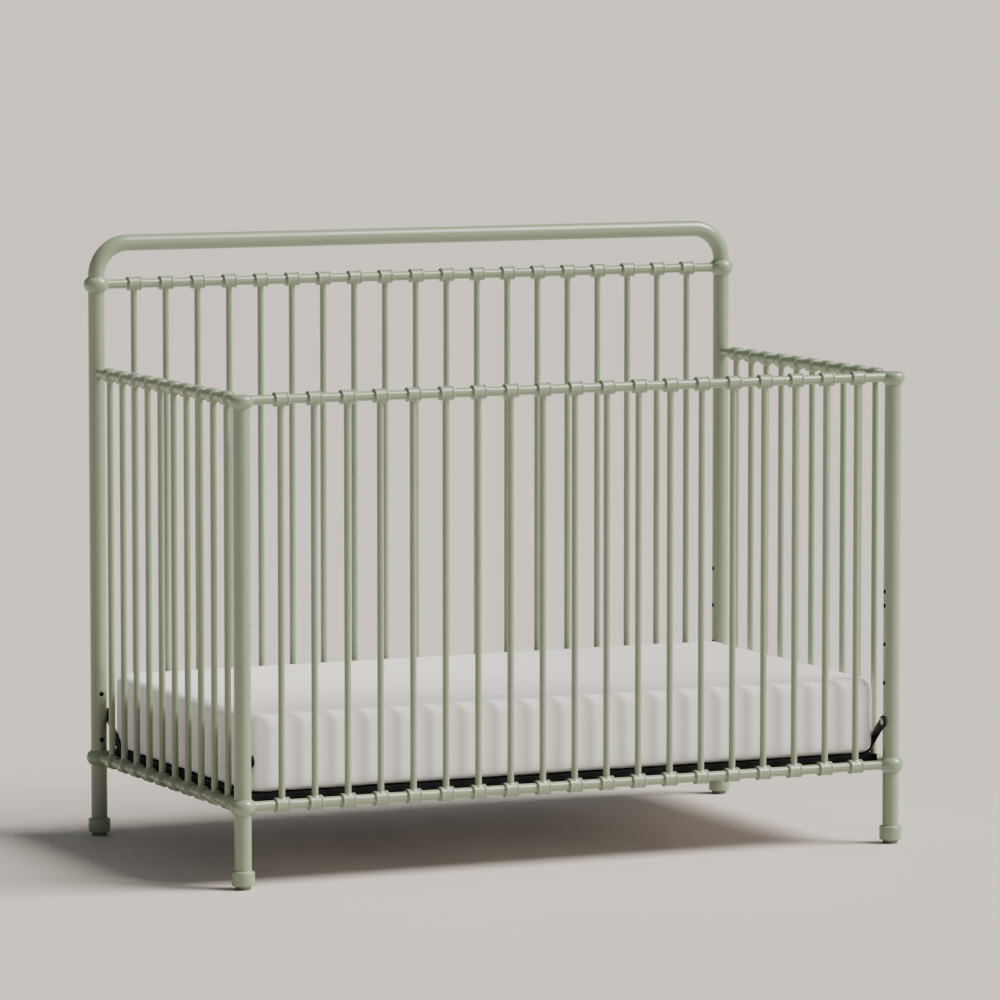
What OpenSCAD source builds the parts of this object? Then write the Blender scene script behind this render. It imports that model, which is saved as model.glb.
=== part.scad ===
// Full-size baby crib of welded steel tube, with a spring mattress support on four levels.
// Units are millimetres. +Z is up, +X runs along the length to the right, -Y faces the front.
// The origin is on the floor, at the middle of the crib.

/* [Overall] */
// Distance between the corner posts' centres along the length
post_span_x = 1344; // [1120:1:1650]
// Distance between the corner posts' centres along the depth
post_span_y = 729; // [600:1:880]
// Height of the lower rails' centres above the floor
lower_rail_z = 152; // [120:1:185]
// Height of the front and side top rails' centres
side_rail_z = 898; // [760:1:1000]
// Height of the headboard's upper rail centre
headboard_rail_z = 1068; // [1030:1:1280]
// Height of the headboard's top tube centre
headboard_top_z = 1147; // [1146:1:1380]

/* [Tubes] */
// Outer diameter of the corner posts and of the headboard's top tube
post_d = 31.8; // [28:0.1:38.2]
// Wall of the corner posts and of the top tube
post_wall = 1.5; // [1:0.1:2.5]
// Outer diameter of the rails
rail_d = 18; // [15:0.1:21.6]
// Wall of the rails
rail_wall = 1.2; // [0.8:0.1:2]
// Outer diameter of the slats
slat_d = 12.7; // [10.5:0.1:15.3]
// Wall of the slats
slat_wall = 1; // [0.8:0.1:1.6]
// Radius of the headboard tube's two bends, on its centre line
bend_r = 64; // [40:1:64]

/* [Slats] */
// Wanted distance between neighbouring slats' centres
slat_pitch = 66; // [56:0.5:72]
// Distance from a post to the first slat on the long panels, in slat steps
long_end_share = 1.17; // [1:0.01:1.3]
// Distance from a post to the first slat on the short panels, in slat steps
short_end_share = 1.077; // [1:0.01:1.3]
// Outer diameter of a collar's body
collar_d = 24.5; // [23:0.1:29]
// Outer diameter of a collar's end beads
collar_bead_d = 28; // [27:0.1:33]
// Width of a collar's end beads
collar_bead_w = 5; // [3:0.1:6]
// Length of a collar along its rail
collar_len = 28; // [20:0.5:32]

/* [Castings] */
// Largest diameter of the ball knuckles
knuckle_d = 48.5; // [46:0.1:56]
// Height of the ball knuckles
knuckle_h = 28; // [24:0.5:32]
// Largest diameter of the front posts' caps
cap_d = 46.5; // [44:0.1:54]
// Height of a cap below its rails' centres
cap_below = 14; // [11:0.5:16]
// Height of a cap's rim above the tops of its rails
cap_rim = 0.8; // [0.4:0.1:3]
// Rise of a cap's crown over its rim
cap_crown = 1.4; // [0.8:0.1:2]
// Thickness of a cap's roof over its post
cap_roof = 6; // [4:0.1:8]

/* [Feet] */
// Outer diameter of the foot caps
foot_d = 43; // [40:0.5:50]
// Height of the foot caps
foot_h = 27.5; // [22:0.5:32]
// Thickness of a foot cap's floor
foot_floor = 6; // [4:0.5:8]
// Bevel round a foot cap's top edge
foot_bevel = 2.6; // [1:0.1:3]
// Radius round a foot cap's bottom edge
foot_round = 4; // [2:0.5:6]
// Diameter of the plastic glides
glide_d = 29; // [22:0.5:32]
// Height of a glide below its foot cap
glide_h = 6.5; // [5:0.5:9]
// Diameter of a glide's stem
glide_stem_d = 8; // [5:0.5:10]

/* [Mattress support] */
// Number of heights at which the support can be bolted
level_count = 4; // [2:1:4]
// Height of the lowest level's bolts
level_z = 236; // [230:1:280]
// Distance between neighbouring levels
level_step = 74.4; // [60:0.1:80]
// Depth of the support frame below its bolts
support_drop = 65; // [50:1:80]
// Width of the angle iron's two flanges
angle_w = 30; // [25:1:36]
// Thickness of the angle iron
angle_t = 2.5; // [2:0.1:3.5]
// Clear space between the frame's long sides and the slat collars
frame_clear = 5.5; // [3:0.5:10]
// Least clear space between the frame's corners and the knuckles
corner_clear = 2.5; // [1:0.5:5]
// Thickness of the hanger arms
arm_t = 3; // [2:0.1:4]
// Width of the hanger arms
arm_w = 20; // [16:0.5:24]
// Diameter of a hanger arm's eye
arm_eye_d = 23; // [20:0.5:28]
// Reach of a hanger arm from its bolt to its rivet, along the depth
arm_reach = 85; // [60:1:100]
// Diameter of the deck wires
wire_d = 3.5; // [2.5:0.1:4]
// Number of deck wires along the length
long_wires = 7; // [5:2:7]
// Number of deck wires across the depth
cross_wires = 13; // [9:2:15]
// Outer diameter of the deck springs
spring_d = 10; // [8:0.5:10]
// Stretched length of the deck springs
spring_len = 44; // [36:1:50]
// Width of the cross bars
bar_w = 25; // [18:1:30]
// Height of the cross bars
bar_h = 13; // [10:0.5:14]

/* [Mattress] */
// Overlap of the mattress past the frame's ends
mattress_over_x = -0.5; // [-4:0.1:1.2]
// Overlap of the mattress past the frame's long sides
mattress_over_y = 1; // [-4:0.5:3]
// Thickness of the mattress
mattress_h = 143; // [100:1:155]
// Radius of the mattress's upright corners
mattress_corner_r = 28; // [26:1:60]
// Radius along the mattress's top and bottom edges
mattress_edge_r = 20; // [12:1:30]
// Thickness of the mattress cover
cover_t = 3; // [2:0.5:5]

/* [Fasteners] */
// Diameter of the level, panel and conversion bolts
bolt_d = 6; // [5:0.5:6]
// Diameter of the bolts' button heads
bolt_head_d = 11; // [9:0.5:12]
// Height of the bolts' button heads
bolt_head_h = 3.3; // [2.5:0.1:4]
// Outer diameter of the threaded inserts
insert_d = 9; // [8:0.1:10]
// Length of the threaded inserts
insert_len = 12; // [10:0.5:13]
// Height of the toddler rail's inserts on the front posts
toddler_z = 486; // [470:1:540]
// Height of the lower bed rail insert on the back posts
bed_rail_z = 188; // [184:1:200]
// Distance between the two bed rail inserts on a post
bed_rail_step = 89; // [80:1:100]
// Diameter of the set screws under the front castings
set_screw_d = 4; // [3:0.5:4]
// Length of the set screws
set_screw_len = 8; // [6:0.5:9]

/* [Hidden] */
// Radial space in welded and pressed joints
fit = 0.05;
// Space left between two welded faces
weld_gap = 0.2;
// Space between the moving support and the posts
slide_gap = 0.3;
// Radial space round a bolt that passes through
bolt_room = 0.3;
// Overshoot of a cutting shape
cut = 1;
$fn = 48;

half_x = post_span_x / 2;
half_y = post_span_y / 2;
post_r = post_d / 2;
rail_r = rail_d / 2;
knuckle_r = knuckle_d / 2;
cap_r = cap_d / 2;
// Distance from a post's centre to the ends of its rails
rail_end = post_r + weld_gap;

// Feet
post_base_z = glide_h + foot_floor;
glide_edge = 1;
glide_stem_len = foot_floor - weld_gap;

// Front post caps: heights above the rails' centres
cap_above = rail_r + cap_rim;
post_top_above = cap_above + cap_crown - cap_roof - weld_gap;

// Threads and plugs in the side rails
plug_len = 30;
plug_d = rail_d - 2 * rail_wall - 2 * fit;
panel_bolt_reach = 25;
panel_bolt_seat = 0.6;
// Depth of the lower panel bolts' heads below the knuckles' surface
panel_bolt_recess = 0.45;
panel_bolt_sink = knuckle_r - bolt_head_h - panel_bolt_recess;
head_room = 0.6;
washer_d = 14;
washer_t = 1.2;
// Distances from a set screw to its post's surface, and from its outer end up to its rail
set_screw_inset = 2.8;
set_screw_proud = 2.3;
set_screw_out = post_r + set_screw_inset;
set_screw_low = rail_r + set_screw_proud;
socket_af = 4;
socket_depth = 2.2;
small_socket_af = 2;

// Joint between the back posts and the headboard's top tube
coupler_below = 28;
coupler_above = headboard_top_z - bend_r - headboard_rail_z - weld_gap;
coupler_wall = 2;
coupler_d = post_d - 2 * post_wall - 2 * fit;

// Mattress support
arm_face_x = half_x - post_r - slide_gap;
frame_half_x = arm_face_x - arm_t;
corner_dx = half_x - frame_half_x;
corner_dy = sqrt(max(0, pow(knuckle_r + corner_clear, 2) - pow(corner_dx, 2)));
frame_half_y = half_y - max(collar_bead_d / 2 + frame_clear, corner_dy);
support_z = level_z - support_drop;
arm_drop = support_drop + angle_w / 2;
arm_len = sqrt(pow(arm_reach, 2) + pow(arm_drop, 2));
arm_angle = atan2(arm_drop, arm_reach);
rivet_head_d = 11;
rivet_head_h = 2.4;
deck_inner_x = frame_half_x - angle_w;
deck_inner_y = frame_half_y - angle_w;
cross_wire_z = support_z - angle_t - spring_d / 2;
long_wire_z = cross_wire_z - wire_d - 2 * fit;
wire_end_gap = 3;
spring_end_gap = 2;
// Distances from the outermost wires to the springs of the wires that cross them
long_wire_inset = 20;
cross_wire_inset = 30;
spring_wall = 1.6;
hook_hole_d = 4;
hook_inset = 6;
bar_wall = 1.5;
bar_z = support_z - angle_w;
bar_half_y = frame_half_y - angle_t;
bar_place = frame_half_x / 3;

// Mattress
mattress_half_x = frame_half_x + mattress_over_x;
mattress_half_y = frame_half_y + mattress_over_y;
mattress_z = support_z + weld_gap;
core_gap = 0.3;

paint = "#8f9b7b";
black = "#1d1d1e";
steel = "#c8c9cb";
plastic = "#7d8271";
white = "#ece9e6";
foam = "#e9dfc0";

// Places of the slats along a panel whose posts are span apart
function slat_count(span, share) = round(span / slat_pitch - 2 * share + 1);
function slat_step(span, share) = span / (slat_count(span, share) - 1 + 2 * share);
function slat_places(span, share) = [
    for (i = [0 : slat_count(span, share) - 1])
        slat_step(span, share) * (share + i) - span / 2
];
// Middle of a circle that runs from radius outer at height 0 to radius inner at height h
function arc_middle(outer, inner, h) = (outer * outer - inner * inner - h * h) / (2 * (outer - inner));
// Even places from -half to +half
function even_places(half, count) = [for (i = [0 : count - 1]) half * (2 * i / (count - 1) - 1)];

long_places = slat_places(post_span_x, long_end_share);
short_places = slat_places(post_span_y, short_end_share);
long_wire_places = even_places(deck_inner_y - spring_len - long_wire_inset, long_wires);
cross_wire_places = even_places(deck_inner_x - spring_len - cross_wire_inset, cross_wires);
levels = [for (i = [0 : level_count - 1]) level_z + i * level_step];

// ---- Shared shapes ----

// A round bar along +X, -X, +Y or -Y, from the point where it is placed
module bar_along(direction, d, length) {
    rotate([0, 90, atan2(direction[1], direction[0])])
        cylinder(h = length, d = d);
}

// A round tube along Z, centred
module tube(d, wall, length) {
    difference() {
        cylinder(h = length, d = d, center = true);
        cylinder(h = length + 2 * cut, d = d - 2 * wall, center = true);
    }
}

module tube_along_x(d, wall, length) {
    rotate([0, 90, 0])
        tube(d, wall, length);
}

module tube_along_y(d, wall, length) {
    rotate([90, 0, 0])
        tube(d, wall, length);
}

// Puts one copy at each corner; $side is -1 at the left and $end is -1 at the front
module at_corners(ends = [-1, 1], sides = [-1, 1]) {
    for ($side = sides, $end = ends)
        translate([$side * half_x, $end * half_y, 0])
            children();
}

// Button-head bolt along +X: its head's underside is at 0 and its tip at length
module button_bolt(length) {
    difference() {
        union() {
            bar_along([1, 0], bolt_d, length);
            rotate([0, -90, 0])
                rotate_extrude()
                    button_head_profile();
        }
        translate([-bolt_head_h - cut, 0, 0])
            rotate([0, 90, 0])
                cylinder(h = socket_depth + cut, d = socket_af / cos(30), $fn = 6);
    }
}

// Half section of a button head: a flat underside and a domed top
module button_head_profile() {
    dome_r = (pow(bolt_head_d / 2, 2) + pow(bolt_head_h, 2)) / (2 * bolt_head_h);
    intersection() {
        translate([0, bolt_head_h - dome_r])
            circle(r = dome_r);
        square([bolt_head_d / 2, bolt_head_h]);
    }
}

// ---- Posts and tubes ----

// Straight corner post, standing at its own centre
module post(top_z) {
    translate([0, 0, (post_base_z + top_z) / 2])
        tube(post_d, post_wall, top_z - post_base_z);
}

// Holes for the level inserts, in the post's inner side
module level_holes(side, heights) {
    for (z = heights)
        translate([0, 0, z])
            bar_along([-side, 0], insert_d + 2 * fit, post_d);
}

module front_post(side) {
    color(paint)
        translate([side * half_x, -half_y, 0])
            difference() {
                post(side_rail_z + post_top_above);
                level_holes(side, concat(levels, [toddler_z]));
            }
}

module back_post(side) {
    color(paint)
        translate([side * half_x, half_y, 0])
            difference() {
                post(headboard_rail_z);
                level_holes(side, levels);
                for (step = [0, 1])
                    translate([0, 0, bed_rail_z + step * bed_rail_step])
                        bar_along([0, -1], insert_d + 2 * fit, post_d);
                for (z = [lower_rail_z, side_rail_z])
                    translate([0, -post_d, z])
                        bar_along([0, 1], bolt_d + 2 * bolt_room, 2 * post_d);
            }
}

// Solid shape of the bent tube for one diameter, with its legs' ends at the upper rail's height
module bent_tube(d, leg_extra) {
    straight = post_span_x - 2 * bend_r;
    leg = headboard_top_z - bend_r - headboard_rail_z;
    translate([0, 0, headboard_top_z])
        rotate([0, 90, 0])
            cylinder(h = straight, d = d, center = true);
    for (side = [-1, 1]) {
        translate([side * (half_x - bend_r), 0, headboard_top_z - bend_r])
            rotate([90, 0, 0])
                rotate([0, 0, side < 0 ? 90 : 0])
                    rotate_extrude(angle = 90)
                        translate([bend_r, 0])
                            circle(d = d);
        translate([side * half_x, 0, headboard_rail_z - leg_extra])
            cylinder(h = leg + leg_extra, d = d);
    }
}

module headboard_top_tube() {
    color(paint)
        translate([0, half_y, 0])
            difference() {
                bent_tube(post_d, 0);
                bent_tube(post_d - 2 * post_wall, cut);
            }
}

// Spigots that join the back posts to the bent tube, inside the upper knuckles
module tube_couplers() {
    color(steel)
        at_corners(ends = [1])
            translate([0, 0, headboard_rail_z + (coupler_above - coupler_below) / 2])
                tube(coupler_d, coupler_wall, coupler_above + coupler_below);
}

// ---- Rails ----

module long_rail(end, z) {
    color(paint)
        translate([0, end * half_y, z])
            tube_along_x(rail_d, rail_wall, post_span_x - 2 * rail_end);
}

// Side rail; the hole near its front end is for the set screw
module short_rail(side, z) {
    color(paint)
        translate([side * half_x, 0, z])
            difference() {
                tube_along_y(rail_d, rail_wall, post_span_y - 2 * rail_end);
                set_screw_hole();
            }
}

// Hole under a side rail's front end, placed from the rail's middle
module set_screw_hole() {
    translate([0, set_screw_out - half_y, -rail_d])
        cylinder(h = rail_d, d = set_screw_d + 2 * fit);
}

// ---- Slats and collars ----

// One upright slat from rail centre to rail centre
module slat(low_z, high_z) {
    length = high_z - low_z - rail_d - 2 * weld_gap;
    translate([0, 0, (low_z + high_z) / 2])
        tube(slat_d, slat_wall, length);
}

module long_slats(end, high_z) {
    color(paint)
        for (x = long_places)
            translate([x, end * half_y, 0])
                slat(lower_rail_z, high_z);
}

module short_slats(side) {
    color(paint)
        for (y = short_places)
            translate([side * half_x, y, 0])
                slat(lower_rail_z, side_rail_z);
}

// Half section of a collar: a body between two round beads
module collar_profile() {
    bead_middle = (collar_len - collar_bead_w) / 2;
    difference() {
        union() {
            translate([0, -collar_len / 2])
                square([collar_d / 2, collar_len]);
            for (end = [-1, 1])
                translate([0, end * bead_middle]) {
                    translate([0, -collar_bead_w / 2])
                        square([(collar_bead_d - collar_bead_w) / 2, collar_bead_w]);
                    translate([(collar_bead_d - collar_bead_w) / 2, 0])
                        circle(d = collar_bead_w);
                }
        }
        translate([-cut, -collar_len])
            square([rail_r + fit + cut, 2 * collar_len]);
    }
}

// Collar on a rail along X; up is 1 where its slat stands above the rail, and -1 below
module collar(up) {
    difference() {
        rotate([0, 90, 0])
            rotate_extrude()
                collar_profile();
        rotate([up > 0 ? 0 : 180, 0, 0])
            cylinder(h = collar_d, d = slat_d + 2 * fit);
    }
}

module long_collars(end, high_z) {
    color(paint)
        for (x = long_places) {
            translate([x, end * half_y, lower_rail_z])
                collar(1);
            translate([x, end * half_y, high_z])
                collar(-1);
        }
}

module short_collars(side) {
    color(paint)
        for (y = short_places) {
            translate([side * half_x, y, lower_rail_z])
                rotate([0, 0, 90])
                    collar(1);
            translate([side * half_x, y, side_rail_z])
                rotate([0, 0, 90])
                    collar(-1);
        }
}

// ---- Knuckles, caps and feet ----

// Squat ball round a post, bored for the post
module knuckle_ball() {
    middle = arc_middle(knuckle_r, post_r, knuckle_h / 2);
    rotate_extrude()
        difference() {
            intersection() {
                translate([middle, 0])
                    circle(r = knuckle_r - middle);
                translate([0, -knuckle_h / 2])
                    square([knuckle_d, knuckle_h]);
            }
            translate([-cut, -knuckle_h])
                square([post_r + fit + cut, 2 * knuckle_h]);
        }
}

// Sockets for the rails that leave a corner along the given directions
module rail_sockets(directions) {
    for (direction = directions)
        bar_along(direction, rail_d + 2 * fit, knuckle_d);
}

// Turns a piece of the left side into its twin on the right
module on_side(side) {
    mirror([side > 0 ? 1 : 0, 0, 0])
        children();
}

module headboard_knuckle(side) {
    color(paint)
        on_side(side)
            translate([-half_x, half_y, headboard_rail_z])
                difference() {
                    knuckle_ball();
                    rail_sockets([[1, 0]]);
                }
}

// Back knuckles take the panel bolts, and front knuckles the set screws
module lower_knuckle(side, end) {
    color(paint)
        on_side(side)
            translate([-half_x, end * half_y, lower_rail_z])
                difference() {
                    knuckle_ball();
                    rail_sockets([[1, 0], [0, -end]]);
                    if (end > 0) {
                        bar_along([0, 1], bolt_d + 2 * bolt_room, knuckle_d);
                        translate([0, panel_bolt_sink, 0])
                            bar_along([0, 1], bolt_head_d + 2 * head_room, knuckle_d);
                    }
                    if (end < 0)
                        translate([0, half_y, 0])
                            set_screw_hole();
                }
}

// Half section of a front post's cap, before it is bored
module cap_profile() {
    middle = arc_middle(cap_r, post_r, cap_below);
    crown_edge = cap_r - cap_above;
    crown_r = (pow(crown_edge, 2) + pow(cap_crown, 2)) / (2 * cap_crown);
    intersection() {
        translate([middle, 0])
            circle(r = cap_r - middle);
        translate([0, -cap_below])
            square([cap_d, cap_below]);
    }
    square([crown_edge, cap_above]);
    intersection() {
        translate([crown_edge, 0])
            circle(r = cap_above);
        square([cap_d, cap_above]);
    }
    intersection() {
        translate([0, cap_above + cap_crown - crown_r])
            circle(r = crown_r);
        translate([0, cap_above - cap_crown])
            square([crown_edge, 2 * cap_crown]);
    }
}

module post_cap(side) {
    color(paint)
        on_side(side)
            translate([-half_x, -half_y, side_rail_z])
                difference() {
                    rotate_extrude()
                        cap_profile();
                    translate([0, 0, -2 * cap_below])
                        cylinder(h = 2 * cap_below + post_top_above + weld_gap, d = post_d + 2 * fit);
                    rail_sockets([[1, 0], [0, 1]]);
                    translate([0, half_y, 0])
                        set_screw_hole();
                }
}

// Half section of a foot cap: a bevelled top edge and a rounded bottom edge
module foot_profile() {
    foot_r = foot_d / 2;
    polygon([
        [0, foot_round],
        [foot_r, foot_round],
        [foot_r, foot_h - foot_bevel],
        [foot_r - foot_bevel, foot_h],
        [0, foot_h]
    ]);
    square([foot_r - foot_round, foot_round]);
    intersection() {
        translate([foot_r - foot_round, foot_round])
            circle(r = foot_round);
        square([foot_r, foot_round]);
    }
}

module foot_caps() {
    color(paint)
        at_corners()
            translate([0, 0, glide_h])
                difference() {
                    rotate_extrude()
                        foot_profile();
                    translate([0, 0, foot_floor])
                        cylinder(h = foot_h, d = post_d + 2 * fit);
                    translate([0, 0, -cut])
                        cylinder(h = foot_floor + 2 * cut, d = glide_stem_d + 2 * fit);
                }
}

module foot_glides() {
    glide_r = glide_d / 2;
    color(plastic)
        at_corners()
            rotate_extrude()
                polygon([
                    [0, 0],
                    [glide_r - glide_edge, 0],
                    [glide_r, glide_edge],
                    [glide_r, glide_h],
                    [glide_stem_d / 2, glide_h],
                    [glide_stem_d / 2, glide_h + glide_stem_len],
                    [0, glide_h + glide_stem_len]
                ]);
}

// ---- Threaded pieces and fasteners in the frame ----

// Threaded sleeve whose mouth is on a post's surface, facing the given direction
module insert(direction) {
    translate([direction[0] * (post_r - insert_len), direction[1] * (post_r - insert_len), 0])
        difference() {
            bar_along(direction, insert_d, insert_len);
            translate([-direction[0] * cut, -direction[1] * cut, 0])
                bar_along(direction, bolt_d + 2 * fit, insert_len + 2 * cut);
        }
}

module level_inserts() {
    color(steel)
        at_corners()
            for (z = levels)
                translate([0, 0, z])
                    insert([-$side, 0]);
}

module toddler_rail_inserts() {
    color(steel)
        at_corners(ends = [-1])
            translate([0, 0, toddler_z])
                insert([-$side, 0]);
}

module bed_rail_inserts() {
    color(steel)
        at_corners(ends = [1])
            for (step = [0, 1])
                translate([0, 0, bed_rail_z + step * bed_rail_step])
                    insert([0, -1]);
}

// Steel plugs in the side rails' ends: bored along the rail at the back, and from below at the front
module rail_end_plugs() {
    color(steel)
        for (side = [-1, 1], z = [lower_rail_z, side_rail_z])
            translate([side * half_x, 0, z]) {
                difference() {
                    translate([0, half_y - rail_end - plug_len, 0])
                        bar_along([0, 1], plug_d, plug_len);
                    translate([0, half_y - rail_end - plug_len - cut, 0])
                        bar_along([0, 1], bolt_d + 2 * fit, plug_len + 2 * cut);
                }
                difference() {
                    translate([0, rail_end - half_y, 0])
                        bar_along([0, 1], plug_d, plug_len);
                    set_screw_hole();
                }
            }
}

// Bolts through the back posts into the side rails
module panel_bolts() {
    color(steel)
        for (side = [-1, 1], seat = [[side_rail_z, post_r + panel_bolt_seat], [lower_rail_z, panel_bolt_sink]])
            translate([side * half_x, half_y + seat[1], seat[0]])
                rotate([0, 0, -90])
                    button_bolt(seat[1] + rail_end + panel_bolt_reach);
}

// Washers that sit on the round back of the posts, under the upper panel bolts
module saddle_washers() {
    saddle_depth = 2.6;
    $fn = 144;
    color(steel)
        for (side = [-1, 1])
            translate([side * half_x, half_y, side_rail_z])
                difference() {
                    translate([0, post_r + panel_bolt_seat - saddle_depth, 0])
                        bar_along([0, 1], washer_d, saddle_depth);
                    bar_along([0, 1], bolt_d + 2 * bolt_room, post_d);
                    cylinder(h = 2 * washer_d, d = post_d + 2 * fit, center = true);
                }
}

// Grub screws under the front castings that hold the side rails
module set_screws() {
    color(steel)
        for (side = [-1, 1], z = [lower_rail_z, side_rail_z])
            translate([side * half_x, set_screw_out - half_y, z - set_screw_low])
                difference() {
                    cylinder(h = set_screw_len, d = set_screw_d);
                    translate([0, 0, -cut])
                        cylinder(h = socket_depth + cut, d = small_socket_af / cos(30), $fn = 6);
                }
}

// ---- Mattress support ----

// Angle iron along the front or the back, cut to fit between the end rails
module support_long_rail(end) {
    color(black)
        translate([0, 0, support_z])
            difference() {
                union() {
                    translate([0, end * (frame_half_y - angle_t / 2), -angle_w / 2])
                        cube([2 * (frame_half_x - angle_t), angle_t, angle_w], center = true);
                    translate([0, end * (frame_half_y - angle_w / 2), -angle_t / 2])
                        cube([2 * deck_inner_x, angle_w, angle_t], center = true);
                }
                for (x = cross_wire_places)
                    translate([x, end * (deck_inner_y + hook_inset), -2 * angle_t])
                        cylinder(h = 3 * angle_t, d = hook_hole_d);
            }
}

// Angle iron across an end; the hanger arms are riveted to its upright flange
module support_end_rail(side) {
    color(black)
        translate([0, 0, support_z])
            difference() {
                union() {
                    translate([side * (frame_half_x - angle_t / 2), 0, -angle_w / 2])
                        cube([angle_t, 2 * frame_half_y, angle_w], center = true);
                    translate([side * (frame_half_x - angle_w / 2), 0, -angle_t / 2])
                        cube([angle_w, 2 * (frame_half_y - angle_t), angle_t], center = true);
                }
                for (y = long_wire_places)
                    translate([side * (deck_inner_x + hook_inset), y, -2 * angle_t])
                        cylinder(h = 3 * angle_t, d = hook_hole_d);
                for (end = [-1, 1])
                    translate([side * (frame_half_x - 2 * angle_t), end * (half_y - arm_reach), -angle_w / 2])
                        bar_along([side, 0], bolt_d + 2 * fit, 3 * angle_t);
            }
}

// Flat steel boxes under the deck that tie the two long rails
module support_cross_bars() {
    color(black)
        for (side = [-1, 1])
            translate([side * bar_place, 0, bar_z + bar_h / 2])
                difference() {
                    cube([bar_w, 2 * bar_half_y, bar_h], center = true);
                    cube([bar_w - 2 * bar_wall, 2 * bar_half_y + 2 * cut, bar_h - 2 * bar_wall], center = true);
                }
}

module deck_long_wires() {
    color(black)
        for (y = long_wire_places)
            translate([0, y, long_wire_z])
                rotate([0, 90, 0])
                    cylinder(h = 2 * (deck_inner_x - spring_len - wire_end_gap), d = wire_d, center = true);
}

module deck_cross_wires() {
    color(black)
        for (x = cross_wire_places)
            translate([x, 0, cross_wire_z])
                rotate([90, 0, 0])
                    cylinder(h = 2 * (deck_inner_y - spring_len - wire_end_gap), d = wire_d, center = true);
}

// Springs between the wires' ends and the frame, each as a plain sleeve of the coil's size
module deck_springs() {
    color(steel) {
        for (side = [-1, 1], y = long_wire_places)
            translate([side * (deck_inner_x - spring_end_gap - (spring_len - spring_end_gap) / 2), y, long_wire_z])
                tube_along_x(spring_d, spring_wall, spring_len - spring_end_gap);
        for (end = [-1, 1], x = cross_wire_places)
            translate([x, end * (deck_inner_y - spring_end_gap - (spring_len - spring_end_gap) / 2), cross_wire_z])
                tube_along_y(spring_d, spring_wall, spring_len - spring_end_gap);
    }
}

// Outline of a hanger arm: its eye at the origin and its rivet at the other end
module arm_outline() {
    difference() {
        union() {
            circle(d = arm_eye_d);
            translate([0, -arm_w / 2])
                square([arm_len, arm_w]);
            translate([arm_len, 0])
                circle(d = arm_w);
        }
        circle(d = bolt_d + 2 * bolt_room);
        translate([arm_len, 0])
            circle(d = bolt_d + 2 * fit);
    }
}

module hanger_arm(side, end) {
    color(black)
        translate([side * (frame_half_x + arm_t / 2), end * half_y, level_z])
            rotate([end > 0 ? 180 + arm_angle : -arm_angle, 0, 0])
                rotate([90, 0, 90])
                    linear_extrude(height = arm_t, center = true)
                        arm_outline();
}

// Rivets that hold the arms, flush outside and domed inside the frame
module hanger_rivets() {
    shank = angle_t + arm_t;
    dome_r = (pow(rivet_head_d / 2, 2) + pow(rivet_head_h, 2)) / (2 * rivet_head_h);
    color(black)
        for (side = [-1, 1], end = [-1, 1])
            translate([side * (frame_half_x - angle_t), end * (half_y - arm_reach), support_z - angle_w / 2]) {
                bar_along([side, 0], bolt_d, shank);
                rotate([0, -side * 90, 0])
                    rotate_extrude()
                        intersection() {
                            translate([0, rivet_head_h - dome_r])
                                circle(r = dome_r);
                            square([rivet_head_d / 2, rivet_head_h]);
                        }
            }
}

// Bolts through the arms' eyes; their tips stop short of the posts so that the support can slide
module level_bolts() {
    color(steel)
        at_corners()
            translate([-$side * (half_x - frame_half_x + washer_t), 0, level_z])
                rotate([0, 0, $side > 0 ? 0 : 180])
                    button_bolt(arm_t + washer_t);
}

module level_washers() {
    color(steel)
        at_corners()
            translate([-$side * (half_x - frame_half_x + washer_t / 2), 0, level_z])
                tube_along_x(washer_d, (washer_d - bolt_d) / 2 - bolt_room, washer_t);
}

// ---- Mattress ----

// Rounded block of the mattress, smaller by inset on every face: a middle, four sides and four corners
module mattress_block(inset) {
    corner_x = mattress_half_x - mattress_corner_r;
    corner_y = mattress_half_y - mattress_corner_r;
    h = mattress_h - 2 * inset;
    translate([0, 0, mattress_z + inset]) {
        translate([-corner_x, -corner_y, 0])
            cube([2 * corner_x, 2 * corner_y, h]);
        for (turn = [0, 180])
            rotate([0, 0, turn]) {
                mattress_side(corner_x, corner_y, inset);
                rotate([0, 0, 90])
                    mattress_side(corner_y, corner_x, inset);
                translate([corner_x, corner_y, 0])
                    mattress_corner(inset);
                translate([-corner_x, corner_y, 0])
                    rotate([0, 0, 90])
                        mattress_corner(inset);
            }
    }
}

// Straight side of the block towards -Y, from -half to +half, starting at the distance out
module mattress_side(half, out, inset) {
    translate([half, -out, 0])
        rotate([90, 0, -90])
            linear_extrude(height = 2 * half)
                mattress_rim(inset);
}

module mattress_corner(inset) {
    rotate_extrude(angle = 90)
        mattress_rim(inset);
}

// Section of the block's rim: flat inside, rounded above and below on the outside
module mattress_rim(inset) {
    r = mattress_corner_r - inset;
    edge_r = mattress_edge_r - inset;
    h = mattress_h - 2 * inset;
    square([r - edge_r, h]);
    translate([0, edge_r])
        square([r, h - 2 * edge_r]);
    for (z = [edge_r, h - edge_r])
        intersection() {
            translate([r - edge_r, z])
                circle(r = edge_r);
            square([r, h]);
        }
}

module mattress_core() {
    color(foam)
        mattress_block(cover_t + core_gap);
}

module mattress_cover() {
    color(white)
        difference() {
            mattress_block(0);
            mattress_block(cover_t);
        }
}

// ---- The named pieces ----

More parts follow.
